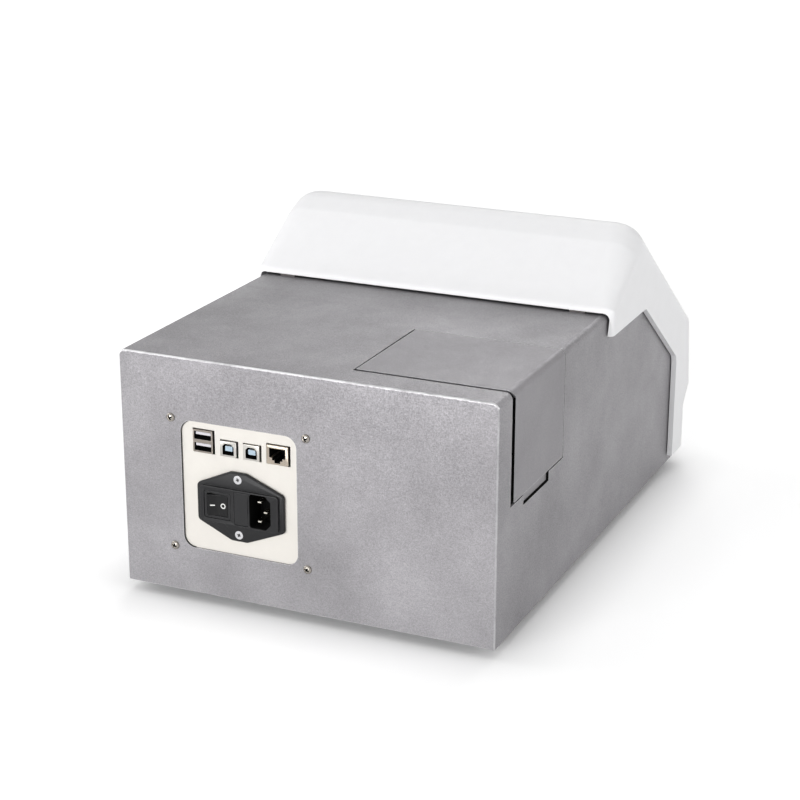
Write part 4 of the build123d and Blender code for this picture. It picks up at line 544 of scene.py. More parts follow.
def makeFinish(name, ownLook):
    look = {**commonLook, **ownLook}
    finish = bpy.data.materials.new(name)
    finish.use_nodes = True
    tree = finish.node_tree
    shader = tree.nodes["Principled BSDF"]
    surface = useEffect(tree, grain, Size=look["size"] * mm, Stretch=look["stretch"])
    colour = linear(look["colour"])
    darker = tuple(c * (1 - look["tone"]) for c in colour[:3]) + (1.0,)
    tint = blendColour(tree, surface["Shade"], darker, colour)
    height = surface["Height"]
    if "speck" in look:
        coat = useEffect(tree, flake, Size=look["size"] * mm)
        depth = look["speck"]
        speckled = spread(tree, coat["Speck"], 0.0, 1.0, 1.0 - depth, 1.0 + depth)
        tint = blendColour(tree, 1.0, tint, speckled, "MULTIPLY")
        height = coat["Height"]
        sparkle = spread(tree, coat["Speck"], 0.3, 0.9, 0.0, look["metal"] * 2)
    if "cloud" in look:
        slow = noiseOf(tree, placeOf(tree), 13.0, 4.0, 0.55)
        clouded = spread(tree, slow, 0.3, 0.7, 1.0 - look["cloud"], 1.0 + look["cloud"])
        tint = blendColour(tree, 1.0, tint, clouded, "MULTIPLY")
    bareAndHighlight = linear(look["bareAndHighlight"])
    # edges lighten towards the bareAndHighlight colour: wear, and on the silver coat and lid a painted edge
    # highlight
    wearHighlightMask = useEffect(tree, wearHighlightEffect, Radius=look["rim"] * mm, Patch=0.006, Reach=look["reach"])["Mask"]
    tint = blendColour(tree, times(tree, wearHighlightMask, look["wornAndHighlit"]), tint, bareAndHighlight)
    # painted highlight on the rear folds, picked out by which way they face, in the bareAndHighlight colour
    if "fold" in look:
        foldHighlight = useEffect(tree, fold, Patch=0.02)["Mask"]
        tint = blendColour(tree, times(tree, foldHighlight, look["fold"]), tint, bareAndHighlight)
    film = useEffect(tree, dust, Size=0.012)["Mask"]
    tint = blendColour(tree, times(tree, film, 0.035), tint, (0.6, 0.58, 0.55, 1.0))
    feed(tree, shader.inputs["Base Color"], tint)
    rough = spread(tree, surface["Height"], 0.3, 0.7, look["rough"] - 0.05, look["rough"] + 0.05)
    rough = compute(tree, "ADD", rough, times(tree, film, 0.12), clamp=True)
    feed(tree, shader.inputs["Roughness"], rough)
    feed(tree, shader.inputs["Metallic"], sparkle if "speck" in look else look["metal"])
    shader.inputs["Specular IOR Level"].default_value = look["gloss"]
    relief = addNode(tree, "Bump")
    relief.inputs["Strength"].default_value = 0.6
    relief.inputs["Distance"].default_value = look["bump"] * mm
    feed(tree, relief.inputs["Height"], height)
    tree.links.new(relief.outputs[0], shader.inputs["Normal"])
    return finish


skins = {name: makeFinish(name, look) for name, look in finishes.items()}


# Finishes with a build of their own
boardLook = dict(
    base=dict(
        colour=(0.05, 0.32, 0.19), bareAndHighlight=(0.5, 0.48, 0.3), rough=0.32, tone=0.12, size=0.5, bump=0.004,
        wornAndHighlit=0.2,
    ),
    track=(0.1, 0.42, 0.27),
    hole=(0.78, 0.74, 0.6),
    pitch=2.2,
)


def makeBoardFinish(look):
    finish = makeFinish("boardLacquer", look["base"])
    tree = finish.node_tree
    shader = tree.nodes["Principled BSDF"]
    pattern = useEffect(tree, traces, Pitch=look["pitch"] * mm)
    under = shader.inputs["Base Color"].links[0].from_socket
    tint = blendColour(tree, pattern["Track"], under, linear(look["track"]))
    tint = blendColour(tree, pattern["Hole"], tint, linear(look["hole"]))
    feed(tree, shader.inputs["Base Color"], tint)
    return finish


filterTints = dict(
    violetFilter=(0.42, 0.32, 0.75),
    blueFilter=(0.25, 0.45, 0.85),
    cyanFilter=(0.3, 0.7, 0.78),
    greenFilter=(0.3, 0.66, 0.4),
    yellowFilter=(0.86, 0.8, 0.3),
    amberFilter=(0.9, 0.58, 0.24),
    redFilter=(0.8, 0.25, 0.22),
    greyFilter=(0.55, 0.56, 0.6),
)
glassLooks = dict(
    clearLens=dict(colour=(0.96, 0.98, 0.98), rough=0.03, through=1.0, ior=1.5),
    lampGlass=dict(colour=(0.98, 0.98, 0.96), rough=0.02, through=1.0, ior=1.46),
    touchGlass=dict(colour=(0.035, 0.04, 0.05), rough=0.07, through=0.0, ior=1.5),
    screenDark=dict(colour=(0.1, 0.108, 0.12), rough=0.13, through=0.0, ior=1.5),
)
for name, tint in filterTints.items():
    glassLooks[name] = dict(colour=tint, rough=0.04, through=0.5, ior=1.5)


def makeGlass(name, look):
    # clean glass with faint smears that change its gloss
    finish = bpy.data.materials.new(name)
    finish.use_nodes = True
    tree = finish.node_tree
    shader = tree.nodes["Principled BSDF"]
    smears = useEffect(tree, grain, Size=0.004, Stretch=(1.0, 0.5, 0.5))
    colour = linear(look["colour"])
    hazy = tuple(min(1.0, c * 0.92 + 0.004) for c in colour[:3]) + (1.0,)
    haze = times(tree, smears["Shade"], smears["Height"], clamp=True)
    feed(tree, shader.inputs["Base Color"], blendColour(tree, haze, colour, hazy))
    rough = spread(tree, smears["Shade"], 0.0, 1.0, look["rough"], look["rough"] + 0.05)
    feed(tree, shader.inputs["Roughness"], rough)
    shader.inputs["Transmission Weight"].default_value = look["through"]
    shader.inputs["IOR"].default_value = look["ior"]
    return finish


skins["boardLacquer"] = makeBoardFinish(boardLook)
for glassName, glassLook in glassLooks.items():
    skins[glassName] = makeGlass(glassName, glassLook)
print("finishes made:", len(skins))


# Mesh helpers
def addBlock(bm, low, high):
    # a box from its two corners, in millimetres
    made = bmesh.ops.create_cube(bm, size=1.0)["verts"]
    low, high = Vector(low), Vector(high)
    for vert in made:
        vert.co = Vector([(low[i] + high[i]) / 2 + vert.co[i] * (high[i] - low[i]) for i in range(3)]) * mm


def bridge(bm, rings):
    # faces between each ring of points and the next one
    for a, b in zip(rings, rings[1:]):
        for i in range(len(a)):
            j = (i + 1) % len(a)
            bm.faces.new((a[i], a[j], b[j], b[i]))


def capRound(bm, rings):
    bm.faces.new(list(reversed(rings[0])))
    bm.faces.new(rings[-1])


def addRound(bm, centre, radii, axis=(0, 0, 1), sides=32):
    # a turned shape: (distance along the axis, radius) pairs from one end to the other
    axis = Vector(axis).normalized()
    first = axis.orthogonal().normalized()
    second = axis.cross(first)
    centre = Vector(centre)
    rings = []
    for along, radius in radii:
        ring = []
        for i in range(sides):
            angle = 2 * pi * i / sides
            out = first * cos(angle) + second * sin(angle)
            ring.append(bm.verts.new((centre + axis * along + out * radius) * mm))
        rings.append(ring)
    bridge(bm, rings)
    return rings


def addTurned(bm, centre, radii, axis=(0, 0, 1), sides=32):
    capRound(bm, addRound(bm, centre, radii, axis, sides))


def addTube(bm, centre, radii, axis=(0, 0, 1), sides=32):
    # a turned ring: the radii run out and back, so the last ring meets the first
    rings = addRound(bm, centre, radii, axis, sides)
    bridge(bm, (rings[-1], rings[0]))


def addPrism(bm, outline, start, end, place):
    # a flat outline pushed from start to end; place turns (u, v, along) into a point
    rings = [[bm.verts.new(place(u, v, along) * mm) for u, v in outline] for along in (start, end)]
    bridge(bm, rings)
    capRound(bm, rings)


def rectangle(left, low, right, high):
    return [(left, low), (right, low), (right, high), (left, high)]


def roundedOutline(width, height, radius, steps=6):
    points = []
    for cx, cy, start in ((1, 1, 0), (-1, 1, 90), (-1, -1, 180), (1, -1, 270)):
        x, y = cx * (width / 2 - radius), cy * (height / 2 - radius)
        for i in range(steps + 1):
            angle = radians(start + 90 * i / steps)
            points.append((x + radius * cos(angle), y + radius * sin(angle)))
    return points


def facingRear(x, z):
    # for prisms that stand on the rear panel: u runs along x, v up, along goes forward
    return lambda u, v, depth: pointAt(x + u, depth, z + v)


def settleMesh(mesh, angle=32):
    bm = bmesh.new()
    bm.from_mesh(mesh)
    bmesh.ops.recalc_face_normals(bm, faces=bm.faces)
    bm.to_mesh(mesh)
    bm.free()
    mesh.shade_smooth()
    mesh.set_sharp_from_angle(angle=radians(angle))


def baked(holder):
    # the mesh with its modifiers done
    bpy.context.view_layer.update()
    graph = bpy.context.evaluated_depsgraph_get()
    done = bpy.data.meshes.new_from_object(holder.evaluated_get(graph))
    holder.modifiers.clear()
    holder.data = done
    return done


def softenEdges(holder, width, segments=2, angle=38):
    bevel = holder.modifiers.new("softEdges", "BEVEL")
    bevel.width = width * mm
    bevel.segments = segments
    bevel.limit_method = "ANGLE"
    bevel.angle_limit = radians(angle)
    bevel.harden_normals = True
    bevel.miter_outer = "MITER_ARC"


def combine(holder, others, operation):
    for other in others:
        step = holder.modifiers.new("combine", "BOOLEAN")
        step.operation = operation
        step.solver = "EXACT"
        step.object = other
    baked(holder)
    for other in others:
        bpy.data.objects.remove(other)


def carve(holder, cutters):
    combine(holder, cutters, "DIFFERENCE")


def mergeShapes(holder, others):
    combine(holder, others, "UNION")


def looseSolid(name, build):
    bm = bmesh.new()
    build(bm)
    bmesh.ops.recalc_face_normals(bm, faces=bm.faces)
    mesh = bpy.data.meshes.new(name)
    bm.to_mesh(mesh)
    bm.free()
    holder = bpy.data.objects.new(name, mesh)
    scene.collection.objects.link(holder)
    return holder


def cutOut(name, outline, start, end, place):
    return looseSolid(name, lambda bm: addPrism(bm, outline, start, end, place))


def fitPiece(holder, body, skin, edge=0.0, instead=(), angle=32, segments=2):
    # gives a finished shape its skin, its body and the nodes that it stands for
    settleMesh(holder.data, angle)
    holder.data.materials.clear()
    holder.data.materials.append(skins[skin])
    if edge:
        softenEdges(holder, edge, segments)
    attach(holder, body)
    if instead:
        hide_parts(*instead)


def makePiece(name, body, skin, build, edge=0.0, instead=(), angle=32):
    fitPiece(looseSolid(name, build), body, skin, edge, instead, angle)


def dressNode(node, skin, edge=0.25, angle=38):
    # the node's own solid with its sharp edges broken, in its finish
    source = frame["nodes"][node]
    mesh = source.data.copy()
    for layer in ("custom_normal", "sharp_face", "sharp_edge"):
        if layer in mesh.attributes:
            mesh.attributes.remove(mesh.attributes[layer])
    bm = bmesh.new()
    bm.from_mesh(mesh)
    bmesh.ops.remove_doubles(bm, verts=bm.verts, dist=2e-6)
    bm.to_mesh(mesh)
    bm.free()
    holder = bpy.data.objects.new(node + "Shape", mesh)
    scene.collection.objects.link(holder)
    fitPiece(holder, source["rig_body"], skin, edge, (node,), angle)
    return holder


# Front cover: one moulding whose edges are rounded more across than in the side view
coverShape = dict(
    halfWidth=142.95,
    wall=3.0,
    # depth, height over the case's underside, radius in the side view, radius across
    cores=(
        (212.8, 171.2, 6.1, 10.5),
        (262.0, 197.9, 16.25, 20.2),
        (274.0, 201.85, 18.8, 23.4),
        (405.6, 108.0, 12.0, 12.0),
        (413.9, 57.0, 8.0, 12.0),
    ),
    lipAngle=172.5,
    lipInner=5.5,
    chinAngle=-45.0,
    toe=(400.0, 41.7, 10.0),
    toeEnd=6.0,
    edge=0.6,
    # the side walls' cut: its corners and their radii
    skirt=((150, 168.5), (206.5, 168.5), (206.5, 154), (287, 154), (375.5, 90), (375.5, -30), (150, -30)),
    skirtRound=(0.0, 1.5, 2.5, 3.0, 10.0, 0.0, 0.0),
    # where its edges are turned in and rounded: first and last depth, height
    skirtZone=(208.5, 376.5, 155.0),
    skirtEdge=3.4,
    skirtTurn=1.1,
    # the sloped face: its tilt, and how far it lies over the glass's middle
    faceTilt=37.9,
    faceLift=0.6,
    # width, height, corner radius
    seat=(184.6, 116.6, 5.0),
    window=(156.0, 88.0, 2.0),
    drawerGap=0.6,
    # screw bosses on the side walls: distance from the middle, (depth, height)
    bossX=138.0,
    bosses=((235.0, 161.0), (387.0, 40.0)),
)


def coverStations(shape, inward):
    # the side view as a row of (core point, direction, radius, radius across)
    cores = [(Vector((d, h)), r - inward, across - inward) for d, h, r, across in shape["cores"]]
    turns = []
    for (a, ra, _), (b, rb, _) in zip(cores, cores[1:]):
        run = (b - a).normalized()
        lean = (ra - rb) / (b - a).length
        out = run * lean + Vector((-run.y, run.x)) * sqrt(1 - lean * lean)
        turns.append(atan2(out.y, out.x))
    turns = [radians(shape["lipAngle"])] + turns + [radians(shape["chinAngle"])]
    if inward:
        # the hollow's corner at the lip is rounder than the rest: the same surface from a deeper core
        turns[0] = turns[1]
        core, radius, _ = cores[0]
        deeper = Vector((cos(turns[0]), sin(turns[0]))) * (shape["lipInner"] - radius)
        cores[0] = (core - deeper, shape["lipInner"], shape["lipInner"])
    stations = []
    for (core, radius, across), start, end in zip(cores, turns, turns[1:]):
        steps = max(1, round(abs(start - end) / radians(6)))
        for i in range(steps + 1):
            angle = start + (end - start) * i / steps
            stations.append((core, Vector((cos(angle), sin(angle))), radius, across))
    depth, height, radius = shape["toe"]
    low = -20.0 if inward else shape["toeEnd"]
    ahead = Vector((1, 0))
    for level in (height + inward * 0.47, low):
        stations.append((Vector((depth, level)), ahead, radius - inward, radius - inward))
    rear, radius, across = cores[0]
    if inward:
        # the hollow runs out past the lip
        rear = rear - (cores[1][0] - rear).normalized() * 30
        stations.insert(0, (rear, stations[0][1], radius, across))
    stations.append((Vector((rear.x, low)), -ahead, radius, across))
    return stations


def coverBody(bm, shape, inward):
    stations = coverStations(shape, inward)
    half = shape["halfWidth"] - inward
    sideSteps = 10
    rows = []
    for core, out, radius, across in stations:
        row = []
        for i in range(2 * sideSteps + 2):
            side, step = (1, sideSteps - i) if i <= sideSteps else (-1, i - sideSteps - 1)
            phi = pi / 2 * step / sideSteps
            place = core + out * radius * cos(phi)
            x = half - across + across * sin(phi)
            row.append(bm.verts.new(at(side * x, place.x, place.y + bottomZ)))
        rows.append(row)
    count = len(rows[0])
    for row, following in zip(rows, rows[1:] + rows[:1]):
        for i in range(count - 1):
            bm.faces.new((row[i], row[i + 1], following[i + 1], following[i]))
    bm.faces.new([row[0] for row in rows])
    bm.faces.new([row[-1] for row in reversed(rows)])
    bmesh.ops.remove_doubles(bm, verts=bm.verts, dist=1e-6)


def roundCorners(points, radii, steps=6):
    # a closed outline with its corners turned by their own radii
    done = []
    count = len(points)
    for i in range(count):
        here, radius = Vector(points[i]), radii[i]
        if radius == 0:
            done.append(tuple(here))
            continue
        before = (Vector(points[i - 1]) - here).normalized()
        after = (Vector(points[(i + 1) % count]) - here).normalized()
        half = before.angle(after) / 2
        middle = here + (before + after).normalized() * (radius / sin(half))
        start = here + before * (radius / sin(half) * cos(half)) - middle
        end = here + after * (radius / sin(half) * cos(half)) - middle
        sweep = start.angle_signed(end)
        for step in range(steps + 1):
            turned = start.copy()
            turned.rotate(Matrix.Rotation(-sweep * step / steps, 2))
            done.append(tuple(middle + turned))
    return done


# The sloped face that holds the glass: its middle and its two directions
glassLow, glassHigh = boxOf("touch_glass")
faceTilt = radians(coverShape["faceTilt"])
faceOut = Vector((0, -sin(faceTilt), cos(faceTilt)))
faceUp = Vector((0, cos(faceTilt), sin(faceTilt)))
faceMiddle = (glassLow + glassHigh) / 2 + faceOut * coverShape["faceLift"]


def onFace(u, v, along):
    return faceMiddle + Vector((1, 0, 0)) * u + faceUp * v + faceOut * along


def roundSkirt(cover, shape):
    # the side walls' rear edges turn in towards the case and have a wide rounding outside
    mesh = cover.data
    weights = mesh.attributes.new("bevel_weight_edge", "FLOAT", "EDGE")
    first, last, top = shape["skirtZone"]

    def inZone(p):
        return first < rearY - p.y < last and p.z - bottomZ < top

    for vert in mesh.vertices:
        p = vert.co / mm
        inner = abs(abs(p.x) - shape["halfWidth"] + shape["wall"]) < 0.05
        if inner and inZone(p):
            vert.co.x -= (1 if p.x > 0 else -1) * shape["skirtTurn"] * mm
    for edge in mesh.edges:
        ends = [mesh.vertices[i].co / mm for i in edge.vertices]
        outer = all(abs(abs(p.x) - shape["halfWidth"]) < 0.02 for p in ends)
        if outer and all(inZone(p) for p in ends) and (ends[0] - ends[1]).length > 0.01:
            weights.data[edge.index].value = 1.0
    rounding = cover.modifiers.new("skirtRounding", "BEVEL")
    rounding.limit_method = "WEIGHT"
    rounding.width = shape["skirtEdge"] * mm
    rounding.segments = 5
    baked(cover)
    stale = cover.data.attributes.get("bevel_weight_edge")
    if stale:
        cover.data.attributes.remove(stale)


def addBosses(cover, shape):
    bm = bmesh.new()
    bm.from_mesh(cover.data)
    for side in (-1, 1):
        for depth, height in shape["bosses"]:
            root = pointAt(side * shape["bossX"], depth, bottomZ + height)
            addTube(bm, root, ((0, 1.6), (0, 4.5), (2.6, 4.5), (2.6, 1.6)), (side, 0, 0), 24)
    bm.to_mesh(cover.data)
    bm.free()


def makeFrontCover(shape):
    cover = looseSolid("frontCover", lambda bm: coverBody(bm, shape, 0.0))
    hollow = looseSolid("coverHollow", lambda bm: coverBody(bm, shape, shape["wall"]))
    outline = roundCorners(shape["skirt"], shape["skirtRound"])
    skirt = cutOut("skirtCut", outline, -200, 200, lambda d, h, x: pointAt(x, d, bottomZ + h))
    seat = cutOut("glassSeat", roundedOutline(*shape["seat"]), -1.25, 8, onFace)
    window = cutOut("glassWindow", roundedOutline(*shape["window"]), -9, 1, onFace)
    low, high = boxOf("drawer_front")
    middle, room = (low + high) / 2, 2 * shape["drawerGap"]
    mouth = roundedOutline(high.x - low.x + room, high.z - low.z + room, 2)
    slotCut = cutOut("drawerSlot", mouth, 380, 430, facingRear(middle.x, middle.z))
    carve(cover, [hollow, skirt, seat, window, slotCut])
    roundSkirt(cover, shape)
    addBosses(cover, shape)
    fitPiece(cover, "case", "whiteCover", shape["edge"], ("front_cover",), 30)
    weights = cover.modifiers.new("evenShading", "WEIGHTED_NORMAL")
    weights.keep_sharp = True


makeFrontCover(coverShape)
print("front cover made")


# Case, lid, panel and the plain pieces on the outside: the node's solid with broken edges
outsideSkins = dict(
    case_shell=("silverCoat", 0.3),
    fuse_drawer=("drawerBlack", 0.3),
    rubber_feet=("rubberGrey", 0.0),
    case_screws=("brightSteel", 0.2),
    lip_pads=("padGrey", 0.3),
    drawer_front=("whiteCover", 0.4),
    touch_glass=("touchGlass", 0.25),
)
for node, (skin, edge) in outsideSkins.items():
    dressNode(node, skin, edge)


def makeLid(values):
    # the access cover, drawn back from its rear edge and from the hinge edge to show a dark gap
    lid = dressNode("access_cover", "silverLid", 0.3)
    low, high = boxOf("access_cover")
    for vert in lid.data.vertices:
        if vert.co.y > (high.y - values["reach"]) * mm:
            down = min(1.0, max(0.0, (high.z - vert.co.z / mm) / values["fold"]))
            vert.co.y -= down * values["rearGap"] * mm
            vert.co.z += (1 - down) * values["proud"] * mm
        if vert.co.x > (high.x - values["reach"]) * mm and vert.co.z > (high.z - values["hingeZone"]) * mm:
            vert.co.x -= values["hingeGap"] * mm

    # painted shade: a black strip down the side on the lid's rear edge, darkening the gap as shade would
    def shadeStrip(bm):
        edge, outer, inner = high.y - values["rearGap"], low.x + 0.12, low.x + values["sheet"]
        side = [(outer, low.z + 1), (outer, high.z - 5), (inner, high.z - 5), (inner, low.z + 1)]
        addPrism(bm, side, edge, edge + values["shadeStrip"], lambda u, v, y: Vector((u, y, v)))

    makePiece("lidGapShade", "access_cover", "paintedShadeBlack", shadeStrip)


def makeFingerCup(values):
    # the hollow under the lid's edge: a plate set a little back, with painted shade below and in front of
    # it: dark strips that line the gap's walls, and a dark backing
    low, high = boxOf("finger_recess")
    front, rear = low.y + 1, high.y - 1
    base, top, gap = low.z + 1, high.z, values["gap"]
    face = low.x + values["back"]

    def plate(bm):
        outline = rectangle(front + gap, base + gap, rear, top)
        addPrism(bm, outline, face, face + 1.0, lambda u, v, x: Vector((x, u, v)))

    def shade(bm):
        skin, inside = values["shade"], face + values["sheet"]
        outside = low.x - values["sheet"]
        addBlock(bm, (outside, front, base), (inside, front + skin, top - values["notch"]))
        addBlock(bm, (outside, front + skin, base), (inside, rear, base + skin))
        addBlock(bm, (face + 1.1, front + skin, base + skin), (inside, rear, top))

    makePiece("fingerPlate", "case", "silverLid", plate, 0.2, ("finger_recess",))
    makePiece("fingerShade", "case", "paintedShadeBlack", shade)


def makeScreen(values):
    # the display's own area behind the glass, a little lighter than the glass's border
    outline = roundedOutline(values["width"], values["height"], values["radius"])

    def area(bm):
        addPrism(bm, outline, -0.3, 0.01, onFace)

    makePiece("screenArea", "case", "screenDark", area)


def makeWindowEdgeShade(values):
    # painted shade: a dark strip over the cut edge along the window's upright side, darkening it as shade
    # would
    left, right, low, high = values["sides"]
    place = facingRear((left + right) / 2, bottomZ + (low + high) / 2)
    outer = roundedOutline(right - left, high - low, values["radius"], 8)
    thick, start, end = (values[key] for key in ("thick", "start", "end"))
    inner = roundedOutline(right - left - 2 * thick, high - low - 2 * thick, values["radius"] - thick, 8)
    strip = outer[-9:] + outer[:7] + list(reversed(inner[-9:] + inner[:7]))

    def edgeShade(bm):
        addPrism(bm, strip, start, end, place)

    makePiece("windowEdgeShade", "case", "deepBlackAndShade", edgeShade)


makeScreen(dict(width=154.0, height=86.0, radius=2.0))
makeWindowEdgeShade(dict(sides=(4.5, 91.8, 33.2, 125.4), radius=8.5, thick=0.3, start=0.12, end=1.45))
makeLid(dict(reach=1.5, proud=0.4, rearGap=3.8, fold=4.5, hingeGap=2.0, hingeZone=20.0, sheet=1.4, shadeStrip=0.5))
makeFingerCup(dict(back=0.1, gap=0.8, shade=0.15, sheet=1.4, notch=12.5))
print("outside pieces dressed")


# Connector field. Its sizes are the ones of the rear panel, depths count from the panel's face.
def steppedOutline(steps):
    # half a mouth as (half width, height) pairs from its top down, mirrored
    right = []
    for half, high, low in steps:
        right += [(half, high), (half, low)]
    return [(-u, v) for u, v in right] + list(reversed(right))


portValues = dict(
    face=0.5,
    # x, z, width, height, length
    usbA=(75.2, 119.8, 15.0, 16.2, 17.5),
    usbB=((55.9, 117.2), (38.5, 117.2)),
    usbBsize=(12.1, 11.0, 16.0),
    network=(18.95, 118.5, 16.2, 13.6, 18.0),
    # round each socket: left, right, below, above
    gaps=(0.5, 1.25, 0.4, 0.55),
    # middle, width, height
    inletHole=(46.8, 77.0, 60.0, 27.0),
)
usbAMouth = roundedOutline(13.0, 5.7, 0.5, 3)
usbBMouth = [(4.3, -4.0), (4.3, 2.0), (2.4, 4.0), (-2.4, 4.0), (-4.3, 2.0), (-4.3, -4.0)]
networkMouth = steppedOutline(((6.0, 4.7, -2.1), (3.9, -2.1, -3.9), (2.2, -3.9, -5.7)))
socketMouth = roundCorners(
    ((-8.05, -8.2), (-4.05, -12.2), (8.05, -12.2), (8.05, 12.2), (-4.05, 12.2), (-8.05, 8.2)),
    (0.6, 0.6, 2.0, 2.0, 0.6, 0.6),
)


def portCentres(values):
    x, z, width, height, _ = values["usbA"]
    yield x, z, width, height
    for x, z in values["usbB"]:
        yield x, z, values["usbBsize"][0], values["usbBsize"][1]
    yield values["network"][:4]


def makePlate(values):
    # the connector plate, with a gap round each socket as in a punched sheet
    low, high = boxOf("io_plate")
    middle = (low + high) / 2
    start, end = rearY - high.y, rearY - low.y
    outline = roundedOutline(high.x - low.x, high.z - low.z, 3)
    plate = cutOut("connectorPlate", outline, start, end, facingRear(middle.x, middle.z))
    left, right, below, above = values["gaps"]
    cutters = []
    for x, z, width, height in portCentres(values):
        outline = rectangle(-width / 2 - right, -height / 2 - below, width / 2 + left, height / 2 + above)
        cutters.append(cutOut("portHole", outline, start - 2, end + 2, facingRear(x, z)))
    x, z, width, height = values["inletHole"]
    outline = roundedOutline(width, height, 1)
    cutters.append(cutOut("inletHole", outline, start - 2, end + 2, facingRear(x, z)))
    carve(plate, cutters)
    fitPiece(plate, "case", "creamPlate", 0.12, ("io_plate",))


def makeSocket(name, node, shells, mouths, length, skin):
    # steel shells with their mouths cut in
    face = portValues["face"]
    shell = None
    for x, z, width, height in shells:
        part = cutOut(name, roundedOutline(width, height, 0.7, 4), face, face + length, facingRear(x, z))
        softenEdges(part, 0.25)
        baked(part)
        if shell is None:
            shell = part
        else:
            mergeShapes(shell, [part])
    deep = face + length - 4.5
    carve(shell, [cutOut("mouth", outline, face - 2, deep, facingRear(x, z)) for x, z, outline in mouths])
    shell.name = name
    fitPiece(shell, "case", skin, 0.0, (node,), 30)


def addShadeLiner(bm, outline, x, z, start, end, wall=0.12):
    # painted shade: a dark sleeve with a closed end that lines a mouth, darkening it as shade would
    middle = [sum(point[k] for point in outline) / len(outline) for k in (0, 1)]

    def shrunk(size):
        return [tuple(m + (c - m) * size for m, c in zip(middle, point)) for point in outline]

    inner, outer = shrunk(0.985), shrunk(0.995)
    place = facingRear(x, z)
    rows = ((outer, start), (inner, start), (inner, end - wall), (outer, end))
    rings = [[bm.verts.new(place(u, v, along) * mm) for u, v in ring] for ring, along in rows]
    bridge(bm, (rings[3], *rings[:3]))
    bm.faces.new(rings[2])
    bm.faces.new(list(reversed(rings[3])))


def makePorts(values):
    face = values["face"]
    x, z, width, height, length = values["usbA"]
    mouthsA = [(x, z + side * 4.0, usbAMouth) for side in (-1, 1)]
    makeSocket("usbAShell", "usb_a_socket", [(x, z, width, height)], mouthsA, length, "darkShell")
    wide, tall, deep = values["usbBsize"]
    mouthsB = [(bx, bz - 0.3, usbBMouth) for bx, bz in values["usbB"]]
    shellsB = [(bx, bz, wide, tall) for bx, bz in values["usbB"]]
    makeSocket("usbBShells", "usb_b_sockets", shellsB, mouthsB, deep, "brightShell")
    nx, nz, nw, nh, nl = values["network"]
    mouths = [(nx, nz, networkMouth)]
    makeSocket("networkShell", "network_socket", [(nx, nz, nw, nh)], mouths, nl, "warmShell")

    def shadeLiners(bm):
        for mx, mz, outline in mouthsA:
            addShadeLiner(bm, outline, mx, mz, face + 0.7, face + length - 4.6)
        for mx, mz, outline in mouthsB:
            addShadeLiner(bm, outline, mx, mz, face + 0.5, face + deep - 4.6)
        addShadeLiner(bm, networkMouth, nx, nz, face + 0.5, face + nl - 4.6)

    makePiece("portShadeLiners", "case", "paintedShadeBlack", shadeLiners)

    def bladesA(bm):
        for mx, mz, _ in mouthsA:
            blade = roundedOutline(11.4, 1.9, 0.4, 3)
            addPrism(bm, blade, face + 1.1, face + length - 4.7, facingRear(mx, mz + 1.25))

    makePiece("tonguesWhite", "case", "tongueWhite", bladesA, 0.15, ("usb_tongues",))

    def bladesB(bm):
        for mx, mz, _ in mouthsB:
            blade = roundedOutline(5.5, 3.6, 0.5, 3)
            addPrism(bm, blade, face + 1.0, face + deep - 4.7, facingRear(mx, mz + 0.3))

    makePiece("tonguesBlue", "case", "tongueBlue", bladesB, 0.2)

    def contacts(bm):
        flatA, flatB = roundedOutline(1.0, 0.22, 0.08, 2), roundedOutline(0.9, 0.22, 0.08, 2)
        for mx, mz, _ in mouthsA:
            for i in range(4):
                addPrism(bm, flatA, face + 1.6, face + 9.0, facingRear(mx + (i - 1.5) * 2.4, mz + 0.28))
        for mx, mz, _ in mouthsB:
            for i in (-1, 1):
                for side in (-1, 1):
                    place = facingRear(mx + i * 1.3, mz + 0.3 + side * 1.8)
                    addPrism(bm, flatB, face + 1.8, face + 8.0, place)
        slope = [(face + 5.0, 2.0), (face + 5.0, 2.25), (face + 1.6, 4.3), (face + 1.6, 4.0)]
        for i in range(8):
            cx = nx + (i - 3.5) * 1.02
            addPrism(bm, slope, cx - 0.2, cx + 0.2, lambda d, h, across: pointAt(across, d, nz + h))

    makePiece("socketContacts", "case", "goldContact", contacts)


def recessBar(bm, centre, out, along, reach, width, depth):
    # one bar of a cross recess, which narrows as it goes in
    up = out.cross(along)
    rings = []
    for lift, grow in ((0.4, 1.15), (-depth, 0.55)):
        ring = []
        for su, sv in ((-1, -1), (1, -1), (1, 1), (-1, 1)):
            point = centre + out * lift + along * (su * reach * grow) + up * (sv * width / 2)
            ring.append(bm.verts.new(point * mm))
        rings.append(ring)
    bridge(bm, rings)
    capRound(bm, rings)


def makeScrews(name, node, body, spots, values, skin):
    # turned screws with a cross recess, and painted shade in it: a dark disc on the recess's floor
    out, profile = Vector((0, 1, 0)), values["profile"]
    top = profile[-1][0]
    reach, width, depth = values["recess"]
    heads = looseSolid(name, lambda bm: [addTurned(bm, spot, profile, out, 28) for spot in spots])
    first = out.orthogonal().normalized()
    cutters = []
    for i, spot in enumerate(spots):
        centre = Vector(spot) + out * top
        lean = Matrix.Rotation(radians(20 + 47 * i), 3, out)
        for along in (lean @ first, lean @ out.cross(first)):

            def bar(bm):
                recessBar(bm, centre, out, along, reach, width, depth)

            cutters.append(looseSolid("recess", bar))
    carve(heads, cutters)
    fitPiece(heads, body, skin, 0.0, (node,), 28)

    def recessShade(bm):
        disc = ((-0.1, reach * 0.6), (0.1, reach * 0.66))
        for spot in spots:
            addTurned(bm, Vector(spot) + out * (top - depth + 0.1), disc, out, 8)

    makePiece(name + "RecessShade", body, "paintedShadeBlack", recessShade)


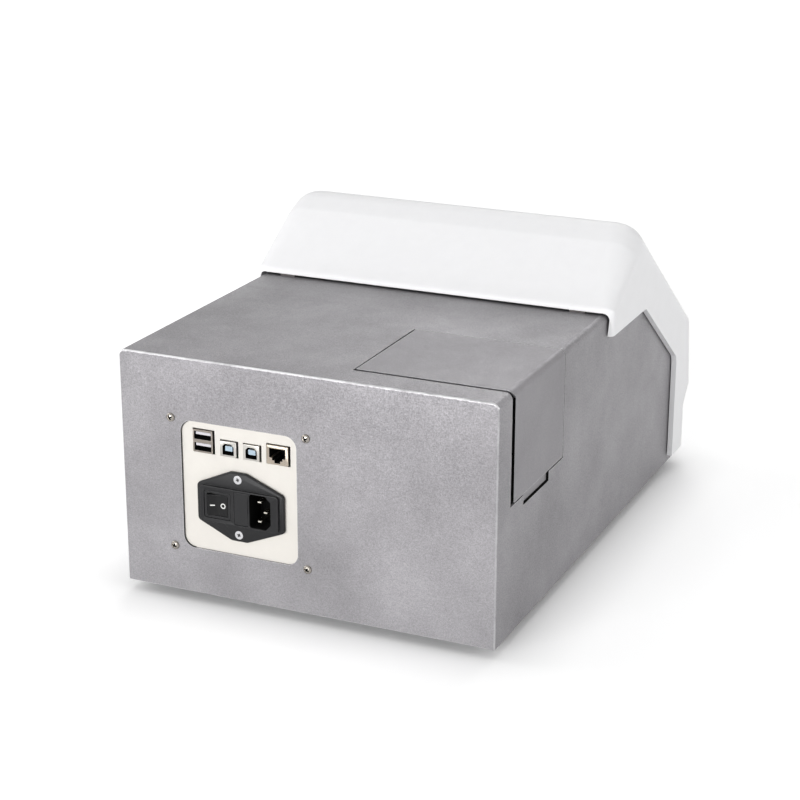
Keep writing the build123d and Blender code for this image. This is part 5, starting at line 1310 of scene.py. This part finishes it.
# profiles: (height over the head's seat, radius); recesses: reach, width, depth
panelScrew = dict(
    inset=3.1,
    profile=(
        (-5.0, 1.45), (-0.05, 1.45), (-0.05, 3.05), (0.25, 3.1), (0.9, 2.95), (1.45, 2.45), (1.8, 1.7),
        (1.98, 0.8),
    ),
    recess=(2.05, 1.15, 1.2),
)
inletScrew = dict(
    x=48.2,
    lift=1.5,
    apart=20.0,
    profile=((-7.0, 1.45), (-1.65, 1.45), (-0.12, 3.02), (0.0, 3.0), (0.05, 2.6)),
    recess=(1.35, 1.0, 1.0),
)
inletValues = dict(
    x=46.8,
    z=77.0,
    face=-3.5,
    flange=-1.5,
    half=33.0,
    edge=13.3,
    tip=25.0,
    tipHalf=6.0,
    screwX=1.4,
    # width, height, corner radius
    body=(59.4, 26.4, 2.6),
    fuseWell=(10.5, 23.8, 0.5),
    bezel=(20.0, 19.4, 1.4),
    opening=(15.9, 15.7, 0.8),
    # middles across
    socketX=30.8,
    fuseX=45.2,
    rockerX=63.2,
    pins=((31.8, 84.0), (31.8, 70.0), (27.3, 77.0)),
    # half width, height, crown, its hollow's bottom
    rocker=(7.2, 15.3, 4.0, 2.6),
    tilt=10.0,
    # the switch's marks: length and width of the I, outer and inner radius of the O, thickness
    markI=(3.4, 0.75),
    markO=(1.9, 1.2),
    markLift=0.12,
)


def makeInlet(values):
    # hexagonal flange with a rounded rim, the raised block, and the wells cut into both
    x, z, half, edge, tip, face = (values[key] for key in ("x", "z", "half", "edge", "tip", "face"))
    left, right = values["screwX"] - values["tipHalf"], values["screwX"] + values["tipHalf"]
    above = [(half, edge), (right, tip), (left, tip), (-half, edge)]
    below = [(u, -v) for u, v in reversed(above)]
    rim = roundCorners(below + above, (3.4, 5.0, 5.0, 3.4) * 2)
    place = facingRear(x, z)
    socket, fuse, rocker = (facingRear(values[key], z) for key in ("socketX", "fuseX", "rockerX"))
    body = cutOut("inletBody", rim, values["flange"], 1.5, place)
    softenEdges(body, 1.3, 4, 60)
    baked(body)
    raised = cutOut("inletBlock", roundedOutline(*values["body"]), face, 29.0, place)
    softenEdges(raised, 0.5, 3, 60)
    baked(raised)
    mergeShapes(body, [raised])
    width, height, radius = values["bezel"]
    bezelWell = roundedOutline(width + 0.5, height + 0.5, radius)
    carve(body, [
        cutOut("mouth", socketMouth, face - 2, face + 17, socket),
        cutOut("fuseWell", roundedOutline(*values["fuseWell"]), face - 2, face + 21, fuse),
        cutOut("bezelWell", bezelWell, face - 2, face + 12, rocker),
    ])
    fitPiece(body, "case", "inletBlack", 0.12, ("inlet_housing",), 30)
    bezel = cutOut("rockerBezel", roundedOutline(*values["bezel"]), face + 0.25, face + 12, rocker)
    opening = roundedOutline(*values["opening"])
    carve(bezel, [cutOut("opening", opening, face - 2, face + 11.5, rocker)])
    fitPiece(bezel, "case", "inletBlack", 0.3)

    # painted shade: dark linings in the socket's mouth and in the rocker's well
    def socketShade(bm):
        addShadeLiner(bm, socketMouth, values["socketX"], z, face + 0.9, face + 16.9)

    def well(bm):
        addShadeLiner(bm, opening, values["rockerX"], z, face + 1.4, face + 11.4)

    def pins(bm):
        for px, pz in values["pins"]:
            rings = []
            for depth, wide, tall in ((-2.0, 2.4, 1.0), (-1.2, 3.6, 1.8), (0.0, 4.0, 2.0), (36.5, 4.0, 2.0)):
                outline = roundedOutline(wide, tall, tall * 0.24, 3)
                rings.append([bm.verts.new(pointAt(px + u, depth, pz + v) * mm) for u, v in outline])
            bridge(bm, rings)
            capRound(bm, rings)

    makePiece("inletShadeLiner", "case", "paintedShadeBlack", socketShade)
    makePiece("rockerShadeLiner", "case", "paintedShadeBlack", well)
    makePiece("inletPins", "case", "nickelPin", pins, 0.0, ("inlet_pins",), 40)


def makeRocker(values):
    half, height, crown, dip = values["rocker"]
    tilt = radians(values["tilt"])
    axis = Vector((values["rockerX"], rearY - values["face"] - 3.0))

    def turned(u, w):
        return axis + Vector((u * cos(tilt) - w * sin(tilt), u * sin(tilt) + w * cos(tilt)))

    def place(u, w, along):
        flat = turned(u, w)
        return Vector((flat.x, flat.y, values["z"] + along))

    outline = [(-half, crown)]
    for i in range(1, 8):
        # the pressed face is a shallow hollow
        part = i / 8
        outline.append((-half + 2 * half * part, dip + (crown - dip) * abs(2 * part - 1) ** 1.35))
    outline += [(half, crown), (half + 0.3, 0.0), (half / 2, -crown)]
    outline += [(-half / 2, -crown), (-half - 0.3, 0.0)]

    def rocker(bm):
        addPrism(bm, outline, -height / 2, height / 2, place)
        # the axle
        addTurned(bm, place(0, 0, -height / 2 - 1.4), ((0, 1.4), (height + 2.8, 1.4)), (0, 0, 1), 20)

    node = "power_rocker"
    makePiece("powerRocker", node, "rockerBlack", rocker, 0.35, (node,), 24)

    def onFaceOf(side):
        # u along the face from its middle, v up, lift off the face
        low = Vector((side * 1.0, dip + (crown - dip) * 0.07))
        high = Vector((side * (half - 0.6), crown - 0.28))
        run = (high - low).normalized() * side
        out = Vector((-run.y, run.x))
        middle = (low + high) / 2

        def lifted(u, v, lift):
            point = middle + run * u + out * (lift + 0.02)
            return place(point.x, point.y, v)

        return lifted

    def marks(bm):
        lift, (wide, small) = values["markLift"], values["markO"]
        addPrism(bm, roundedOutline(*values["markI"], 0.15, 2), 0.0, lift, onFaceOf(1))
        onHigh, steps, rings = onFaceOf(-1), 28, []
        turns = [2 * pi * i / steps for i in range(steps)]
        for radius, rise in ((wide, 0.0), (wide, lift), (small, lift), (small, 0.0)):
            rings.append([bm.verts.new(onHigh(radius * cos(a), radius * sin(a), rise) * mm) for a in turns])
        bridge(bm, rings + rings[:1])

    makePiece("rockerMarks", node, "markWhite", marks)


makePlate(portValues)
makePorts(portValues)
makeInlet(inletValues)
makeRocker(inletValues)
low, high = boxOf("io_plate_screws")
inset = panelScrew["inset"]
across, upright = (low.x + inset, high.x - inset), (low.z + inset, high.z - inset)
panelSpots = [(x, rearY, z) for x in across for z in upright]
makeScrews("panelScrews", "io_plate_screws", "case", panelSpots, panelScrew, "screwSteel")
inletX, inletY = inletScrew["x"], rearY + inletScrew["lift"]
inletSpots = [(inletX, inletY, inletValues["z"] + side * inletScrew["apart"]) for side in (-1, 1)]
makeScrews("inletScrews", "inlet_screws", "case", inletSpots, inletScrew, "brightSteel")
print("connector field made")


# Pieces inside the case that keep their node's own solid
insideSkins = dict(
    base_plate=("zincSheet", 0.15),
    front_bulkhead=("zincSheet", 0.15),
    board_tray=("zincSheet", 0.15),
    lamp_bracket=("zincSheet", 0.15),
    motor_bracket=("zincSheet", 0.2),
    hinge_brackets=("zincSheet", 0.15),
    hinge_pins=("brightSteel", 0.15),
    spacers=("brassPart", 0.2),
    optics_plate=("blackAlloy", 0.2),
    optics_head=("blackAlloy", 0.3),
    filter_wheel=("blackAlloy", 0.2),
    light_collector=("machinedAlloy", 0.25),
    light_guides=("sheathBlack", 0.0),
    glass_lenses=("clearLens", 0.0),
    lamp_house=("machinedAlloy", 0.2),
    lamp_socket=("ceramic", 0.3),
    lamp_fan=("deepBlackAndShade", 0.25),
    fan_rotor=("deepBlackAndShade", 0.15),
    guide_rods=("groundRod", 0.3),
    rod_blocks=("machinedAlloy", 0.25),
    plate_carrier=("machinedAlloy", 0.25),
    carrier_bushes=("brassPart", 0.1),
    plate_spring=("brightSteel", 0.1),
    belt_clamp=("machinedAlloy", 0.2),
    main_board=("boardLacquer", 0.1),
    power_board=("boardLacquer", 0.1),
    detector_board=("boardLacquer", 0.1),
    display_board=("boardLacquer", 0.1),
    display_panel=("panelFrame", 0.25),
    photodiodes=("nickelPin", 0.15),
)
for node, (skin, edge) in insideSkins.items():
    dressNode(node, skin, edge)


def addWire(bm, points, radius, sides=6):
    # a round wire through a list of points
    rings = []
    for i, point in enumerate(points):
        along = (points[min(i + 1, len(points) - 1)] - points[max(i - 1, 0)]).normalized()
        first = along.cross(Vector((0.3, 0.2, 1.0))).normalized()
        second = along.cross(first)
        ring = []
        for k in range(sides):
            angle = 2 * pi * k / sides
            ring.append(bm.verts.new((point + (first * cos(angle) + second * sin(angle)) * radius) * mm))
        rings.append(ring)
    bridge(bm, rings)
    capRound(bm, rings)


# Parts on a circuit board
legProfile = (
    (0.0, 0.62), (0.5, 0.62), (0.78, 0.02), (1.35, 0.02), (1.35, 0.2), (0.92, 0.2), (0.62, 0.8), (0.0, 0.8)
)


def addLegs(bm, centre, half, out, values):
    # a row of bent legs along one side of a chip; out points away from the body
    side = Vector((out.y, -out.x, 0))
    pitch, width = values["pitch"], values["width"]
    count = int((2 * half - values["endGap"]) / pitch)

    def place(u, v, along):
        return centre + out * u + side * along + Vector((0, 0, v))

    for i in range(count + 1):
        start = (i - count / 2) * pitch - width / 2
        addPrism(bm, legProfile, start, start + width, place)


def addVents(foot, radius, height):
    # the crossed grooves in a capacitor's top
    outline = rectangle(-0.6 * radius, -0.18, 0.6 * radius, 0.18)
    cutters = []
    for turn in (radians(20), radians(110)):
        u, v = Vector((cos(turn), sin(turn), 0)), Vector((-sin(turn), cos(turn), 0))

        def place(a, b, z):
            return foot + u * a + v * b + Vector((0, 0, z))

        cutters.append(cutOut("vent", outline, height - 0.35, height + 1, place))
    return cutters


def makeCans(name, spots, radius, height):
    # electrolytic capacitors: a shrunk sleeve with a crimp, and a metal top
    crimp = ((0.0, 0.93), (0.5, 1.0), (1.2, 1.0), (1.6, 0.93), (2.0, 1.0))
    sleeve = [(z, r * radius) for z, r in crimp]
    sleeve += [(height - 0.6, radius), (height - 0.2, radius * 0.95), (height - 0.25, radius * 0.8)]
    top = [(height - 0.6, radius * 0.86), (height - 0.1, radius * 0.82), (height - 0.02, radius * 0.7)]
    sleeves = looseSolid(name + "Sleeves", lambda bm: [addTurned(bm, foot, sleeve) for foot in spots])
    tops = looseSolid(name + "Tops", lambda bm: [addTurned(bm, foot, top) for foot in spots])
    carve(tops, [cutter for foot in spots for cutter in addVents(foot, radius, height)])
    fitPiece(sleeves, "case", "canSleeve", 0.05)
    fitPiece(tops, "case", "machinedAlloy", 0.05)


mainParts = dict(
    # heat sink: x and depth, then its sizes
    sink=dict(at=(60, 64), size=26.0, base=3.0, fins=6, pitch=4.9, fin=1.5, high=9.0),
    # x, depth, width, length, height
    chips=((26, 60, 14, 20, 1.8), (26, 92, 18, 18, 1.6), (84, 100, 12, 8, 1.8)),
    legs=dict(pitch=1.27, width=0.45, endGap=2.4),
    legReach=1.4,
    headers=((60, 108, 40, 6, 8), (96, 60, 6, 34, 8)),
    headerWall=0.7,
    pinPitch=2.54,
    cans=((6, 46), (6, 60), (6, 74), (82, 44)),
    canRadius=4.0,
    canHeight=10.0,
)


def makeMainParts(values):
    top = boxOf("board_parts")[0].z
    reach = values["legReach"]

    def bodies(bm):
        for x, depth, w, length, h in values["chips"]:
            c = pointAt(x, depth, top)
            low = (c.x - w / 2 + reach, c.y - length / 2 + reach, top + 0.12)
            addBlock(bm, low, (c.x + w / 2 - reach, c.y + length / 2 - reach, top + h))

    def pinMark(x, depth, w, length, h):
        corner = pointAt(x, depth, top + h) + Vector((w / 2 - 3.2, length / 2 - 3.2, 0))
        return looseSolid("pinMark", lambda bm: addTurned(bm, corner, [(-0.15, 0.6), (1.0, 0.6)], sides=20))

    def legs(bm):
        for x, depth, w, length, h in values["chips"]:
            c = pointAt(x, depth, top)
            across, along = w / 2 - reach, length / 2 - reach
            for side in (-1, 1):
                foot = c + Vector((side * across, 0, 0))
                addLegs(bm, foot, along, Vector((side, 0, 0)), values["legs"])
                if w == length:
                    foot = c + Vector((0, side * along, 0))
                    addLegs(bm, foot, across, Vector((0, side, 0)), values["legs"])

    def fins(bm):
        sink = values["sink"]
        count, pitch, base, fin, high = (sink[key] for key in ("fins", "pitch", "base", "fin", "high"))
        foot, half, tip = pointAt(*sink["at"], top), sink["size"] / 2, fin * 0.32
        outline = [(-half, 0), (half, 0), (half, base)]
        for i in reversed(range(count)):
            u = (i - (count - 1) / 2) * pitch
            outline += [(u + fin / 2, base), (u + tip, base + high)]
            outline += [(u - tip, base + high), (u - fin / 2, base)]
        outline.append((-half, base))
        addPrism(bm, outline, -half, half, lambda u, v, along: foot + Vector((u, along, v)))

    def shrouds(bm):
        wall = values["headerWall"]
        for x, depth, w, length, h in values["headers"]:
            c = pointAt(x, depth, top)
            left, near, right, far = c.x - w / 2, c.y - length / 2, c.x + w / 2, c.y + length / 2
            addBlock(bm, (left, near, top), (right, far, top + 1.6))
            for x0, y0, x1, y1 in (
                (left, near, right, near + wall), (left, far - wall, right, far),
                (left, near, left + wall, far), (right - wall, near, right, far),
            ):
                addBlock(bm, (x0, y0, top + 1.5), (x1, y1, top + h))

    def pins(bm):
        pitch = values["pinPitch"]
        for x, depth, w, length, h in values["headers"]:
            c = pointAt(x, depth, top)
            along = Vector((1, 0, 0)) if w > length else Vector((0, 1, 0))
            across = Vector((along.y, along.x, 0))
            count = int((max(w, length) - 3) / pitch)
            profile = [(0.0, 0.42), (h - 3.0, 0.42), (h - 2.4, 0.16)]
            for i in range(count + 1):
                for side in (-0.5, 0.5):
                    foot = c + along * (i - count / 2) * pitch + across * side * pitch
                    addTurned(bm, foot + Vector((0, 0, 1.4)), profile, sides=4)

    chips = looseSolid("chipBodies", bodies)
    carve(chips, [pinMark(*chip) for chip in values["chips"]])
    fitPiece(chips, "case", "chipBlack", 0.12, ("board_parts",))
    makePiece("chipLegs", "case", "nickelPin", legs)
    makePiece("boardSink", "case", "blackAlloy", fins, 0.08)
    makePiece("headerShrouds", "case", "markWhite", shrouds, 0.1)
    makePiece("headerPins", "case", "goldContact", pins)
    cans = [pointAt(x, depth, top) for x, depth in values["cans"]]
    makeCans("boardCan", cans, values["canRadius"], values["canHeight"])


powerParts = dict(
    # x and depth
    centre=(105, 150),
    # width, length, height, then a leg's or a wall's thickness
    core=(18.0, 28.0, 24.0, 4.5),
    coil=(30.0, 18.6, 14.6),
    flange=(34.0, 18.8, 15.4, 1.2),
    coilHeight=12,
    # from the centre
    cans=((-8, -22), (12, -24), (14, 38), (0, 38)),
    canRadius=6.0,
    canHeight=22.0,
    # cooling plates: distance from the middle, thickness, length, height; their ribs: number, pitch
    plate=(23.0, 2.0, 44.0, 26.0),
    ribs=(8, 3),
    chips=(-12.0, 12.0),
    # terminal block: width, length, height, shift in depth
    block=(26.0, 8.0, 11.0, -46.0),
    ways=5,
)


def makePowerParts(values):
    top = boxOf("power_parts")[0].z
    x, depth = values["centre"]
    middle = pointAt(x, depth + 8, top)
    mid = top + values["coilHeight"]

    def core(bm):
        w, length, h, leg = values["core"]
        left, right, run = x - w / 2, x + w / 2, length / 2
        for side in (-1, 1):
            y = middle.y + side * (length - leg) / 2
            addBlock(bm, (left, y - leg / 2, top), (right, y + leg / 2, top + h))
        for z in (top, top + h - leg):
            addBlock(bm, (left, middle.y - run + leg, z), (right, middle.y + run - leg, z + leg))

    def coil(bm):
        w, length, h = values["coil"]
        outline = roundedOutline(length, h, 2.5)
        addPrism(bm, outline, -w / 2, w / 2, lambda u, v, along: Vector((x + along, middle.y + u, mid + v)))

    def flanges(bm):
        w, length, h, t = values["flange"]
        for side in (-1, 1):
            face = x + side * (w / 2 - t / 2)
            low = (face - t / 2, middle.y - length / 2, mid - h / 2)
            addBlock(bm, low, (face + t / 2, middle.y + length / 2, mid + h / 2))

    def addSlab(bm, face, side, thick, y, half, low, high):
        # a flat block on a face, that stands off it towards the middle
        off = face - side * thick
        addBlock(bm, (min(face, off), y - half, low), (max(face, off), y + half, high))

    def plates(bm):
        out, t, length, h = values["plate"]
        count, pitch = values["ribs"]
        for side in (-1, 1):
            addPrism(
                bm, rectangle(-t / 2, 0, t / 2, h), -length / 2, length / 2,
                lambda u, v, along: Vector((x + side * out + u, middle.y + along, top + v)))
            for k in range(count):
                z = top + 3 + k * pitch
                addSlab(bm, x + side * (out + t / 2), side, 0.3, middle.y, length / 2, z, z + 1.2)

    def seats():
        # the inner faces of the plates, where the switches stand
        out, t = values["plate"][:2]
        for side in (-1, 1):
            for shift in values["chips"]:
                yield side, x + side * (out - t / 2), middle.y + shift

    def switches(bm):
        for side, face, y in seats():
            addSlab(bm, face, side, 4.2, y, 5, top + 4, top + 13)

    def tabs(bm):
        for side, face, y in seats():
            addSlab(bm, face, side, 1.2, y, 5, top + 13, top + 19.5)
            screw = Vector((face - side * 1.2, y, top + 16.6))
            addTurned(bm, screw, [(0.0, 2.4), (1.0, 2.4), (1.5, 1.7)], (-side, 0, 0), 24)
            foot = face - side * 2.4
            for leg in (-2.5, 0, 2.5):
                low = (foot - 0.25, y + leg - 0.4, top - 0.1)
                addBlock(bm, low, (foot + 0.25, y + leg + 0.4, top + 4.1))

    blockWidth, blockLength, blockHigh, blockShift = values["block"]
    blockFoot = pointAt(x, depth + blockShift, top)

    def ways():
        # the feet of the terminal block's ways, and of their screws
        for i in range(values["ways"]):
            way = blockFoot + Vector(((i - (values["ways"] - 1) / 2) * blockWidth / values["ways"], 0, 0))
            yield way, way + Vector((0, -1, 0))

    def block(bm):
        near, far, h = -blockLength / 2, blockLength / 2, blockHigh
        outline = [(near, 0), (far, 0), (far, h * 0.6), (far - 2, h * 0.72), (far - 2, h), (near, h)]
        half = blockWidth / 2
        addPrism(bm, outline, -half, half, lambda u, v, along: blockFoot + Vector((along, u, v)))

    def blockCuts():
        mouth, half = roundedOutline(3.4, 3.8, 0.4, 3), blockLength / 2
        well = [(blockHigh - 3, 1.75), (blockHigh + 1, 1.75)]
        for way, screw in ways():
            yield looseSolid("screwWell", lambda bm: addTurned(bm, screw, well, sides=20))

            def place(u, v, along):
                return way + Vector((u, along, 2.8 + v))

            yield cutOut("wireMouth", mouth, half - 3, blockLength, place)

    def blockScrews(bm):
        profile = [(blockHigh - 3.05, 1.6), (blockHigh - 1.6, 1.6), (blockHigh - 1.3, 1.35)]
        for _, screw in ways():
            addTurned(bm, screw, profile, sides=20)

    makePiece("chokeCore", "case", "ferrite", core, 0.3, ("power_parts",))
    makePiece("chokeCoil", "case", "windingTape", coil, 0.2)
    makePiece("chokeFlanges", "case", "chipBlack", flanges, 0.15)
    makePiece("coolingPlates", "case", "machinedAlloy", plates, 0.08)
    makePiece("powerSwitches", "case", "chipBlack", switches, 0.2)
    makePiece("switchTabs", "case", "nickelPin", tabs, 0.06)
    holder = looseSolid("terminalBlock", block)
    carve(holder, list(blockCuts()))
    fitPiece(holder, "case", "greenPlastic", 0.12)
    makePiece("terminalScrews", "case", "brightSteel", blockScrews, 0.05)
    cans = [pointAt(x + dx, depth + dd, top) for dx, dd in values["cans"]]
    makeCans("powerCan", cans, values["canRadius"], values["canHeight"])


# Stepper motors: two cast ends, a stack of laminations, four screws and a pilot boss
motorValues = dict(
    size=35.2,
    cut=3.5,
    length=26.0,
    ends=7.0,
    # height, radius
    boss=(2.0, 11.0),
    # radius, depth
    bore=(2.55, 9.0),
    # pitch, radius, height
    screws=(26.0, 1.9, 0.9),
    leaf=1.0,
)


def makeMotor(name, node, face, axis, side, values):
    # face: middle of the mounting face; axis: towards the shaft's end; side: across it
    up = Vector((0, 0, 1))
    axis, side = Vector(axis), Vector(side)

    def place(u, v, along):
        return face + side * u + up * v - axis * along

    def square(inset):
        half = values["size"] / 2 - inset
        near = half - values["cut"]
        left = [(-near, half), (-half, near), (-half, -near), (-near, -half)]
        return [(near, half), *left, (near, -half), (half, -near), (half, near)]

    ends, length = values["ends"], values["length"]
    casting = cutOut(name + "Ends", square(0.0), 0.0, ends, place)
    rear = cutOut("rearEnd", square(0.0), length - ends, length, place)
    high, radius = values["boss"]
    profile = [(-1.0, radius), (high - 0.3, radius), (high, radius - 0.3)]
    boss = looseSolid("boss", lambda bm: addTurned(bm, face, profile, axis, 48))
    mergeShapes(casting, [rear, boss])
    bore, deep = values["bore"]
    hole = [(-deep, bore), (5.0, bore)]
    carve(casting, [looseSolid("bore", lambda bm: addTurned(bm, face, hole, axis))])
    fitPiece(casting, "case", "motorSteel", 0.3, (node,))

    def leaves(bm):
        leaf = values["leaf"]
        start = ends
        while start < length - ends - 0.01:
            addPrism(bm, square(0.35), start + 0.06, start + leaf - 0.06, place)
            addPrism(bm, square(0.6), start - 0.08, start + 0.08, place)
            start += leaf

    def screws(bm):
        pitch, wide, rise = values["screws"]
        head = [(0.2, wide), (-rise * 0.6, wide), (-rise, wide * 0.7)]
        for sx in (-0.5, 0.5):
            for sy in (-0.5, 0.5):
                addTurned(bm, place(sx * pitch, sy * pitch, length), head, axis, 20)

    makePiece(name + "Leaves", "case", "darkShell", leaves)
    makePiece(name + "Screws", "case", "brightSteel", screws, 0.05)


def makeMotors():
    low, high = boxOf("filter_motor")
    face = Vector(((low.x + high.x) / 2, high.y - motorValues["boss"][0], (low.z + high.z) / 2))
    makeMotor("filterMotor", "filter_motor", face, (0, 1, 0), (1, 0, 0), motorValues)
    low, high = boxOf("drive_motor")
    face = Vector((low.x + motorValues["boss"][0], (low.y + high.y) / 2, (low.z + high.z) / 2))
    makeMotor("driveMotor", "drive_motor", face, (-1, 0, 0), (0, 1, 0), motorValues)


# Toothed belt on two toothed and flanged pulleys
beltValues = dict(
    teeth=332,
    toothDeep=0.6,
    profile=((0.0, 1.0), (0.14, 0.0), (0.5, 0.0), (0.64, 1.0)),
    inner=6.4,
    outer=7.8,
    pulleyTeeth=20,
    pulleyRadius=6.1,
    flange=(8.5, 0.8),
    shaft=2.5,
    bore=2.55,
    pulleyWidth=8.2,
)


def beltPoint(s, radius, rear, front, z, inner):
    # a point of the closed path at s, whose length is measured at the inner radius
    run, turn = rear - front, pi * inner
    if s < run:
        return rear - s, z + radius
    if s < run + turn:
        angle = (s - run) / inner
        return front - radius * sin(angle), z + radius * cos(angle)
    if s < 2 * run + turn:
        return front + (s - run - turn), z - radius
    angle = (s - 2 * run - turn) / inner
    return rear + radius * sin(angle), z - radius * cos(angle)


def makeBelt(values):
    low, high = boxOf("drive_belt")
    inner, outer = values["inner"], values["outer"]
    rear, front, z = high.y - outer, low.y + outer, (low.z + high.z) / 2
    total = 2 * (rear - front) + 2 * pi * inner
    pitch = total / values["teeth"]

    def loop(bm):
        rings = []
        for i in range(values["teeth"]):
            for share, deep in values["profile"]:
                s = (i + share) * pitch
                near = beltPoint(s, inner + deep * values["toothDeep"], rear, front, z, inner)
                far = beltPoint(s, outer, rear, front, z, inner)
                corners = ((low.x, near), (low.x, far), (high.x, far), (high.x, near))
                rings.append([bm.verts.new(Vector((x, y, h)) * mm) for x, (y, h) in corners])
        bridge(bm, rings + rings[:1])

    makePiece("toothedBelt", "case", "beltRubber", loop, instead=("drive_belt",))


def makePulley(name, node, body, shaftEnd, values):
    low, high = boxOf(node)
    right = low.x + values["pulleyWidth"]
    y, z = (low.y + high.y) / 2, (low.z + high.z) / 2
    flange, thick = values["flange"]
    outline = []
    for i in range(values["pulleyTeeth"]):
        for share, deep in ((0.0, 0.0), (0.5, 0.0), (0.6, 1.0), (0.9, 1.0)):
            angle = 2 * pi * (i + share) / values["pulleyTeeth"]
            radius = values["pulleyRadius"] - deep * 0.55
            outline.append((radius * cos(angle), radius * sin(angle)))

    def turned(label, x, profile, sides=32):
        return looseSolid(label, lambda bm: addTurned(bm, Vector((x, y, z)), profile, (1, 0, 0), sides))

    wheel = cutOut(name, outline, low.x + thick, right - thick, lambda u, v, x: Vector((x, y + u, z + v)))
    parts = [turned("flange", x, [(0, flange), (thick, flange)], 48) for x in (low.x, right - thick)]
    if shaftEnd:
        reach, shaft = high.x - low.x, values["shaft"]
        profile = [(0, shaft), (reach - 1.4, shaft), (reach - 1, shaft - 0.4)]
        parts.append(turned("shaft", low.x + 1, profile))
    mergeShapes(wheel, parts)
    if not shaftEnd:
        carve(wheel, [turned("bore", low.x - 2, [(0, values["bore"]), (14, values["bore"])])])
    fitPiece(wheel, body, "machinedAlloy", 0.08, (node,))


# Halogen lamp: a clear capsule with a flattened foot, a coiled filament and its leads
capsuleValues = dict(
    radius=5.5,
    # width, thickness, height
    foot=(7.0, 5.0, 8.0),
    # radius, width, turns
    coil=(1.1, 5.0, 11),
    wire=0.13,
)


def makeLamp(values):
    low, high = boxOf("halogen_lamp")
    x, y = (low.x + high.x) / 2, (low.y + high.y) / 2
    radius, (w, t, foot) = values["radius"], values["foot"]
    neck = low.z + foot

    def glass(bm):
        profile = [(neck - 1.6, 1.9), (neck - 0.6, 3.2), (neck + 0.6, 4.8), (neck + 2.0, radius)]
        for i in range(9):
            angle = radians(i * 9.6)
            profile.append((high.z - radius + radius * sin(angle), radius * cos(angle)))
        addTurned(bm, Vector((x, y, 0)), profile, sides=48)

    def pinch(bm):
        corners = ((-1, -0.4), (-0.6, -1), (0.6, -1), (1, -0.4), (1, 0.4), (0.6, 1), (-0.6, 1), (-1, 0.4))
        outline = [(u * w / 2, v * t / 2) for u, v in corners]
        addPrism(bm, outline, low.z, neck - 0.9, lambda u, v, z: Vector((x + u, y + v, z)))

    def filament(bm):
        coil, width, turns = values["coil"]
        z, steps = high.z - 12.5, 10
        left, right = x - width / 2, x + width / 2
        points = [Vector((left, y, neck - 0.6)), Vector((left, y, z - 1))]
        for i in range(turns * steps + 1):
            angle = 2 * pi * i / steps
            across = left + width * i / (turns * steps)
            points.append(Vector((across, y + coil * sin(angle), z + coil * cos(angle))))
        points += [Vector((right, y, z - 1)), Vector((right, y, neck - 0.6))]
        addWire(bm, points, values["wire"])

    makePiece("lampGlass", "case", "lampGlass", glass, instead=("halogen_lamp",))
    makePiece("lampFoot", "case", "ceramic", pinch, 0.3)
    makePiece("lampFilament", "case", "nickelPin", filament)


filterValues = dict(radius=6.0, clear=4.9)


def makeFilters(names, values):
    # one tinted filter in a bright ring for each bore of the wheel
    low, high = boxOf("optical_filters")
    x, z = (low.x + high.x) / 2, (low.z + high.z) / 2
    radius, rim, thick = values["radius"], values["clear"], high.y - low.y
    circle = (high.x - low.x) / 2 - radius
    turns = [pi / 2 + 2 * pi * i / len(names) for i in range(len(names))]
    middles = [Vector((x + circle * cos(a), low.y, z + circle * sin(a))) for a in turns]
    outside = [(0.2, radius), (thick - 0.2, radius), (thick, radius - 0.3)]
    inside = [(thick, rim + 0.2), (thick - 0.5, rim), (0.5, rim), (0.0, rim + 0.2), (0.0, radius - 0.3)]

    def rings(bm):
        for middle in middles:
            addTube(bm, middle, outside + inside, (0, 1, 0), 40)

    node = "optical_filters"
    makePiece("filterRings", "filter_wheel", "machinedAlloy", rings, instead=(node,))
    disc = [(0.6, rim), (thick - 0.6, rim)]
    for name, middle in zip(names, middles):

        def glass(bm):
            addTurned(bm, middle, disc, (0, 1, 0), 40)

        makePiece(name + "Disc", "filter_wheel", name, glass)


fuseValues = dict(radius=2.5, capLength=5.0, glass=0.55, wire=0.15)


def makeFuses(values):
    # glass fuses with steel caps and a fine wire
    low, high = boxOf("fuses")
    x, length = (low.x + high.x) / 2, high.z - low.z
    radius, reach = values["radius"], values["capLength"]
    spots = [Vector((x, y, low.z)) for y in (low.y + radius, high.y - radius)]
    outer, inner = radius - 0.35, radius - 0.35 - values["glass"]

    def tubes(bm):
        for foot in spots:
            addTube(bm, foot, [(1, outer), (length - 1, outer), (length - 1, inner), (1, inner)])

    def wires(bm):
        for foot in spots:
            ends = ((0, 0, 2), (0.3, 0, length / 2), (0, 0, length - 2))
            addWire(bm, [foot + Vector(end) for end in ends], values["wire"])

    def caps(bm):
        profile = [(0.0, radius - 0.4), (0.35, radius)]
        profile += [(reach - 0.2, radius), (reach, radius - 0.2), (reach, outer)]
        for foot in spots:
            for start, way in ((0.0, 1), (length, -1)):
                addTurned(bm, foot + Vector((0, 0, start)), profile, (0, 0, way))

    makePiece("fuseGlass", "fuse_drawer", "lampGlass", tubes)
    makePiece("fuseWire", "fuse_drawer", "nickelPin", wires)
    makePiece("fuseCaps", "fuse_drawer", "nickelPin", caps, instead=("fuses",))


makeMainParts(mainParts)
makePowerParts(powerParts)
makeMotors()
makeBelt(beltValues)
makePulley("drivePulley", "drive_pulley", "drive_pulley", True, beltValues)
makePulley("idlerPulley", "idler_pulley", "idler_pulley", False, beltValues)
makeLamp(capsuleValues)
makeFilters(list(filterTints), filterValues)
makeFuses(fuseValues)
print("inside pieces made")


# Any node without a piece of its own still gets a finish
for name, node in frame["nodes"].items():
    if not node.hide_render:
        print("plain node:", name)
    node.data.materials.clear()
    node.data.materials.append(skins["zincSheet"])
